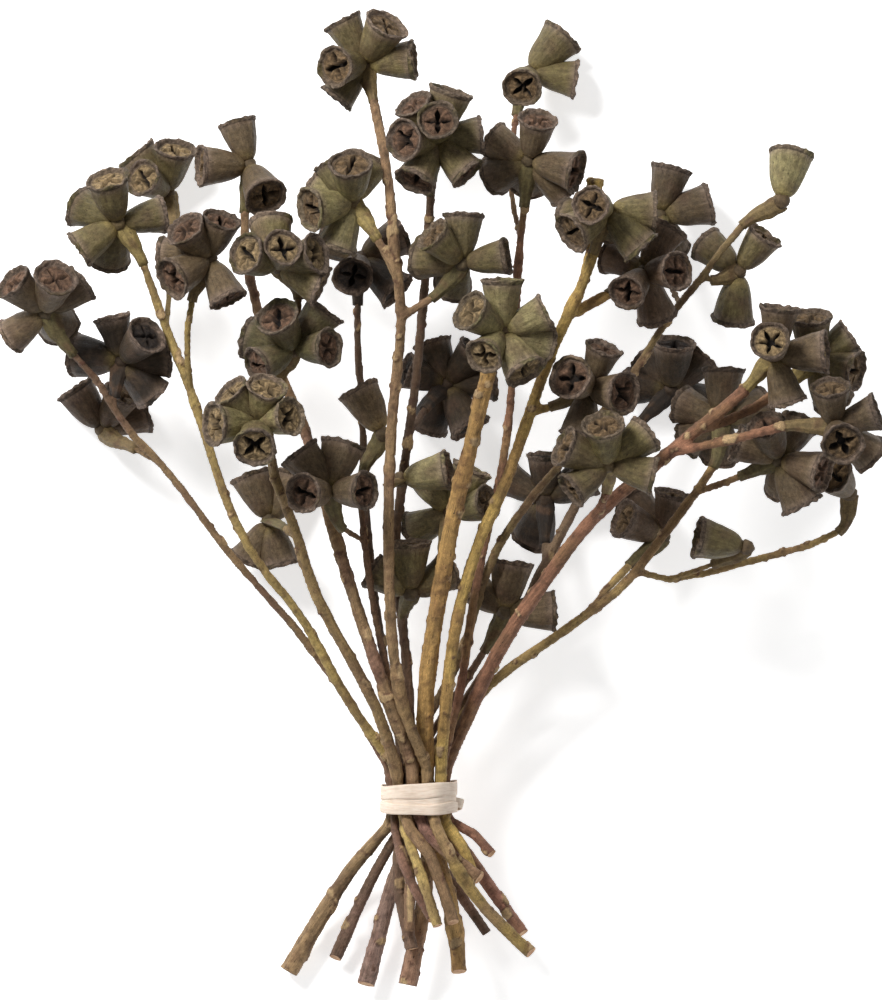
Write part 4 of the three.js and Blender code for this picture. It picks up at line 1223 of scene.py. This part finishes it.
@dataclass
class Band:
    """The flat rubber band: three stretched turns and the loop that sticks out below them."""

    node: str = "tie_band"
    turns: tuple[Turn, ...] = (Turn(2.5, 2.75, 0.9, 0.1, 0.15, 0),
                               Turn(-0.9, 1.9, 0.6, 0.5, -0.25, 1),
                               Turn(-3.8, 2.05, 0.1, 1.1, 0.3, 2))
    outline_points: int = 120
    outline_shift: float = 0.4 * MM
    half_thickness: float = 0.475
    sides: int = 20
    loop_steps: int = 44
    loop_reach: float = 3.6
    loop_sink: float = 1.2
    loop_height: float = 3.4
    loop_half_width: float = 1.9
    loop_half_thickness: float = 0.5
    loop_number: int = 7

    def build(self, materials: list[bpy.types.Material]) -> bpy.types.Object:
        """Builds the turns and the loop as one piece.

        Args:
            materials: The rubber.

        Returns:
            The piece.
        """
        whole = Sculpture()
        outline = self.outline()
        low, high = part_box(self.node)
        middle = (low.y + high.y) / 2
        for turn in self.turns:
            whole.add(self.wrap(outline, middle, turn))
        whole.add(self.loop(outline, middle))
        return whole.finish("rubber_band", self.node, materials)

    def outline(self) -> list[Vector]:
        """The line that the band follows round the stems, evenly spaced.

        Returns:
            Points in the plane of x and z.
        """
        solid = merged_copy(self.node)
        low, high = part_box(self.node)
        place = Vector((0, (low.y + high.y) / 2 + self.outline_shift, 0))
        geometry = list(solid.verts) + list(solid.edges) + list(solid.faces)
        cut = bmesh.ops.bisect_plane(solid, geom=geometry, plane_co=place,
                                     plane_no=(0, 1, 0))["geom_cut"]
        points = [item.co.copy() for item in cut if isinstance(item, bmesh.types.BMVert)]
        solid.free()
        centre = sum(points, Vector()) / len(points)
        corners: list[tuple[float, Vector]] = []
        for point in points:
            away = point - centre
            corners.append((math.atan2(away.z, away.x), away))
        ring = []
        for step in range(self.outline_points):
            angle = -math.pi + math.tau * step / self.outline_points
            ray = Vector((math.cos(angle), 0, math.sin(angle)))
            ring.append(centre + ray * self.reach(corners, ray))
        for _ in range(4):
            ring = [(ring[i - 1] + ring[i] * 2 + ring[(i + 1) % len(ring)]) / 4
                    for i in range(len(ring))]
        return ring

    @staticmethod
    def reach(corners: list[tuple[float, Vector]], ray: Vector) -> float:
        """How far the outermost edge of a convex outline lies along a ray."""
        hull = sorted(corners, key=lambda corner: corner[0])
        best = 0.0
        count = len(hull)
        for i in range(count):
            for j in range(i + 1, min(i + 6, count + i)):
                a = hull[i][1]
                b = hull[j % count][1]
                span = b - a
                size = ray.x * span.z - ray.z * span.x
                if abs(size) < 1e-12:
                    continue
                t = (a.x * span.z - a.z * span.x) / size
                s = (a.x * ray.z - a.z * ray.x) / size
                if t > 0 and -1e-6 <= s <= 1 + 1e-6:
                    best = max(best, t)
        return best

    def wrap(self, outline: list[Vector], middle: float, turn: Turn) -> bmesh.types.BMesh:
        """One turn of the band.

        Args:
            outline: The line that it follows.
            middle: The height of the tie's middle along the stems.
            turn: How this turn lies.

        Returns:
            The turn as a bmesh.
        """
        centre = sum(outline, Vector()) / len(outline)
        widest = max(abs(point.x - centre.x) for point in outline)
        sections = []
        count = len(outline)
        for i, point in enumerate(outline):
            along = (outline[(i + 1) % count] - outline[i - 1]).normalized()
            out = Vector((along.z, 0, -along.x))
            if out.dot(point - centre) < 0:
                out = -out
            across = (point.x - centre.x) / widest
            angle = math.tau * i / count
            wave = math.sin(angle * 5 + turn.number) * 0.12
            wave -= turn.sag * math.cos(across * math.pi / 2)
            width = turn.half * (1 + 0.08 * math.sin(angle * 3 + turn.number * 1.3))
            place = point + out * turn.stand * MM
            place.y = middle + (turn.level + turn.tilt * across + wave) * MM
            sections.append(frame_at(place, along, Vector((0, 1, 0)), width * MM,
                                     self.half_thickness * MM))
        return self.ribbon(sections, True, turn.number)

    def loop(self, outline: list[Vector], middle: float) -> bmesh.types.BMesh:
        """The folded end of the band that sticks out beside the turns.

        Args:
            outline: The line that the turns follow.
            middle: The height of the tie's middle.

        Returns:
            The loop as a bmesh.
        """
        edge = max(outline, key=lambda point: point.x)
        path = []
        steps = self.loop_steps
        for step in range(steps + 1):
            t = step / steps
            swing = math.pi * (1.15 * t - 0.1)
            reach = self.loop_reach * math.sin(max(0.0, min(math.pi, swing))) - self.loop_sink
            path.append(Vector((edge.x + reach * MM, middle - (1.6 + 2.6 * t) * MM,
                                edge.z + self.loop_height * math.cos(swing) * MM)))
        sections = []
        for i, place in enumerate(path):
            along = path[min(i + 1, steps)] - path[max(i - 1, 0)]
            twist = Vector((0.25, 1, 0.25 * math.sin(i * 0.12)))
            sections.append(frame_at(place, along, twist, self.loop_half_width * MM,
                                     self.loop_half_thickness * MM))
        return self.ribbon(sections, False, self.loop_number)

    def ribbon(self, sections: list[Matrix], closed: bool, number: int) -> bmesh.types.BMesh:
        """A flat band with rounded edges through a row of sections.

        Args:
            sections: The band's frames.
            closed: Whether the last section joins the first.
            number: Seed of its small unevenness.

        Returns:
            The band as a bmesh.
        """
        mesh = bmesh.new()
        made = Sculpture(mesh)
        path = sections + [sections[0]] if closed else sections
        verts = sweep(mesh, path, self.sides)
        for index, vert in enumerate(verts):
            step = index // self.sides
            local = path[step].inverted() @ vert.co
            angle = math.atan2(local.y, local.x)
            flat = abs(math.cos(angle)) ** 0.55 * math.copysign(1, math.cos(angle))
            thick = abs(math.sin(angle)) ** 0.45 * math.copysign(1, math.sin(angle))
            ring = step % (len(path) - 1) if closed else step
            probe = Vector((local.x * 2.5, ring * 0.12, number * 5.0))
            uneven = 1 + 0.12 * rough(probe, 0.8, number)
            vert.co = path[step] @ Vector((flat, thick * uneven, 0))
            grain = Vector((flat * 3, thick, ring * 0.09 + number * 4))
            made.dress(vert, Rubber.cream, grain)
        if closed:
            caps = [face for face in mesh.faces if len(face.verts) == self.sides]
            bmesh.ops.delete(mesh, geom=caps, context="FACES_ONLY")
            bmesh.ops.remove_doubles(mesh, verts=mesh.verts, dist=0.01 * MM)
        bmesh.ops.recalc_face_normals(mesh, faces=mesh.faces)
        return mesh


# ------------------------------------------------------------------ studio
@dataclass
class Studio:
    """A pale table, soft light from above, and a camera that looks straight down."""

    view_centre: tuple[float, float] = (0.0003, 0.0007)
    view_height: float = 0.380
    view_level: float = 0.065
    camera_distance: float = 5.0
    sensor: float = 36.0
    table_side: float = 12.0
    world_strength: float = 0.22
    lights: tuple[tuple[str, Rgb, float, float], ...] = (
        ("key_light", (-0.9, 1.1, 1.4), 0.55, 44.0), ("fill_light", (1.1, -0.5, 1.5), 1.2, 5.0))

    def build(self) -> None:
        """Sets up the table, the lights, the world and the camera."""
        self.table()
        for name, place, side, power in self.lights:
            self.light(name, Vector(place), side, power)
        self.world()
        self.camera()

    def table(self) -> bpy.types.Object:
        """The pale table, which isn't part of the bunch."""
        mesh = bmesh.new()
        bmesh.ops.create_grid(mesh, x_segments=2, y_segments=2, size=self.table_side / 2)
        data = as_data(mesh, "table")
        data.materials.append(Paper().material())
        top = placed("table", data)
        return top

    @staticmethod
    def light(name: str, place: Vector, side: float, power: float) -> bpy.types.Object:
        """Hangs a soft square light that looks at the bunch.

        Args:
            name: The light's name.
            place: Where it hangs.
            side: Its width.
            power: Its power in watts.

        Returns:
            The light.
        """
        data = bpy.data.lights.new(name, "AREA")
        data.size = side
        data.energy = power
        lamp = placed(name, data)
        lamp.location = place
        lamp.rotation_mode = "QUATERNION"
        lamp.rotation_quaternion = (-place).to_track_quat("-Z", "Y")
        return lamp

    def world(self) -> None:
        """Lights everything evenly from all round."""
        world = bpy.data.worlds.new("studio")
        world.use_nodes = True
        background = world.node_tree.nodes["Background"]
        background.inputs["Color"].default_value = (1.0, 1.0, 1.0, 1.0)
        background.inputs["Strength"].default_value = self.world_strength
        bpy.context.scene.world = world
        bpy.context.scene.view_settings.view_transform = "Standard"

    def camera(self) -> bpy.types.Object:
        """The camera, straight above the bunch.

        Returns:
            The camera.
        """
        data = bpy.data.cameras.new("camera")
        data.sensor_width = self.sensor
        data.lens = self.sensor * self.camera_distance / self.view_height
        camera = placed("camera", data)
        camera.location = (*self.view_centre, self.view_level + self.camera_distance)
        bpy.context.scene.camera = camera
        return camera


# ------------------------------------------------------------------ the bunch
# The looks that several umbels share, and then each umbel's own.
DUSKY = CapsuleLook(Tint.GREY_BROWN, Valves.PINK, Tint.OLIVE)
# SHADED is painted shadow: umbels that lie deep in the bunch, under the others, are coloured dark
# all over.
SHADED = CapsuleLook(Tint.PAINTED_SHADE, Valves.PAINTED_SHADE, Tint.PAINTED_SHADE)
ROSY = CapsuleLook(Tint.GREY_BROWN, Valves.PINK)
CREAMY = CapsuleLook(Tint.OLIVE, Valves.CREAM)
PALE_CREAM = CapsuleLook(Tint.PALE_GREEN, Valves.CREAM)
DULL = CapsuleLook(Tint.GREY_BROWN, Valves.TAN, Tint.OLIVE)
GREENISH = CapsuleLook(Tint.OLIVE, Valves.TAN)
ALL_OLIVE = CapsuleLook(Tint.OLIVE, Valves.TAN, Tint.OLIVE)
PALE = CapsuleLook(Tint.PALE_GREEN, Valves.TAN)
GOLDEN = CapsuleLook(Tint.OLIVE, Valves.TAN, Tint.YELLOW)
BUFF = CapsuleLook(Tint.GREY_BROWN, Valves.TAN)
UMBEL_LOOKS: dict[str, CapsuleLook] = {
    "far_left": DUSKY, "low_left": CapsuleLook(Tint.BROWN, Valves.TAN, light=0.85),
    "left_inner": replace(SHADED, light=1.1),
    "left_high": CapsuleLook(Tint.OLIVE, Valves.CREAM, Tint.YELLOW), "left_mid": ROSY,
    "left_top": CREAMY, "centre_left": CapsuleLook(Tint.MOSS, Valves.PINK),
    "front_left": PALE_CREAM, "left_low_pair": DULL, "cream_pair": CREAMY, "trio": DULL,
    "single_middle": replace(DULL, light=1.1), "star_pair": DUSKY, "crown": GREENISH,
    "upper_left": CapsuleLook(Tint.PALE_GREEN, Valves.TAN, Tint.YELLOW), "centre_fork": ALL_OLIVE,
    "single_right": CapsuleLook(Tint.PALE_GREEN, Valves.PINK),
    "dark_star": replace(SHADED, light=1.1),
    "top_star": CapsuleLook(Tint.OLIVE, Valves.PINK, Tint.OLIVE), "upright_pair": ALL_OLIVE,
    "shadow": SHADED, "front_middle": PALE_CREAM, "pale_pair": PALE, "upper_right": GREENISH,
    "right_stars": ROSY, "right_brown": CapsuleLook(Tint.BROWN, Valves.PINK, Tint.OLIVE),
    "top_right_low": DUSKY, "top_right_high": ALL_OLIVE,
    "star_right": CapsuleLook(Tint.GREY_BROWN, Valves.CREAM, Tint.YELLOW, count=5),
    "front_right": GOLDEN, "far_right": GOLDEN, "far_right_star": BUFF,
    "right_mid": replace(DULL, light=0.9), "right_five": DUSKY, "right_tip": BUFF,
    "right_single": GREENISH,
    "right_low": CapsuleLook(Tint.BROWN, Valves.TAN, Tint.OLIVE, light=0.9), "short_pair": DULL,
    "right_dark": replace(SHADED, light=1.15), "behind": SHADED, "right_pale": PALE,
    "right_trio": GREENISH, "right_upper_back": replace(DULL, light=0.9),
}

# Each stem's bark, patches and low end, as they look on a screen, 0 to 255.
STEM_COLOURS: dict[str, tuple[tuple[int, int, int], ...]] = {
    "left_outer": ((125, 97, 75), (145, 119, 83), (133, 99, 82)),
    "left_green": ((168, 144, 88), (148, 123, 80), (190, 163, 101)),
    "left_olive": ((153, 127, 84), (131, 104, 75), (158, 125, 92)),
    "mauve": ((143, 110, 88), (155, 127, 89), (156, 116, 101)),
    "slim": ((135, 108, 78), (118, 88, 68), (151, 118, 89)),
    "central": ((147, 117, 86), (158, 129, 92), (170, 143, 84)),
    "back_dark": ((95, 75, 59), (110, 87, 66), (124, 98, 80)),
    "back_middle": ((108, 85, 66), (95, 75, 59), (135, 104, 85)),
    "golden_thick": ((185, 146, 88), (163, 125, 76), (190, 153, 98)),
    "golden_slim": ((185, 154, 88), (165, 129, 78), (201, 169, 97)),
    "reddish": ((138, 100, 75), (151, 119, 80), (151, 107, 87)),
    "red_thick": ((148, 105, 80), (138, 104, 73), (164, 116, 97)),
    "right_green": ((167, 140, 89), (143, 112, 78), (156, 120, 97)),
    "short_back": ((125, 100, 78), (108, 85, 68), (147, 116, 101)),
    "grey_back": ((125, 102, 80), (143, 119, 92), (158, 129, 116)),
    "long_olive": ((140, 119, 80), (122, 97, 71), (164, 134, 97)),
}
STEM_LOOKS: dict[str, BarkLook] = {
    name: BarkLook(*(rgb(*colour) for colour in colours))
    for name, colours in STEM_COLOURS.items()
}
STEM_LOOKS["slim"] = replace(STEM_LOOKS["slim"], bare=(-161.0, -139.5))


@dataclass
class Bunch:
    """The whole bunch: its stems, its umbels and the band round them."""

    stems: dict[str, BarkLook] = field(default_factory=lambda: STEM_LOOKS)
    umbels: dict[str, CapsuleLook] = field(default_factory=lambda: UMBEL_LOOKS)

    def build(self) -> None:
        """Builds every piece in order."""
        wall = DrySurface("capsule_wall", roughness=0.56, grain_depth=0.24, speck_share=0.7,
                          relief=0.55, shine=0.28).material()
        mouth = DrySurface("capsule_mouth", roughness=0.8, grain_scale=2.4, grain_depth=0.35,
                           blotch_scale=300.0, blotch_share=0.35, speck_share=0.5,
                           relief=0.95).material()
        stalk = DrySurface("stalk_skin", roughness=0.7, grain_scale=2.2, grain_depth=0.22,
                           blotch_share=0.35, speck_share=0.8, relief=0.45).material()
        bark = DrySurface("bark", grain_scale=1.9, grain_depth=0.34, scab_depth=0.16,
                          roughness=0.74, blotch_share=0.4, speck_share=0.9,
                          relief=0.6).material()
        cut_wood = CutWood().material()
        shapes = {}
        for count in (4, 5):
            shape = CapsuleShape(valves=count)
            shapes[count] = (shape, shape.blank())
        for index, (name, look) in enumerate(self.stems.items()):
            Stem(name, look, seed=index + 1).build([bark, cut_wood])
        for index, (name, umbel_look) in enumerate(self.umbels.items()):
            Umbel(name, umbel_look, seed=index + 1).build(shapes, [wall, mouth, stalk])
        Band().build([Rubber().material()])


def main() -> None:
    """Builds the studio and the bunch."""
    logging.basicConfig(level=logging.INFO, format="%(message)s")
    Studio().build()
    Bunch().build()


if __name__ == "__main__":
    main()
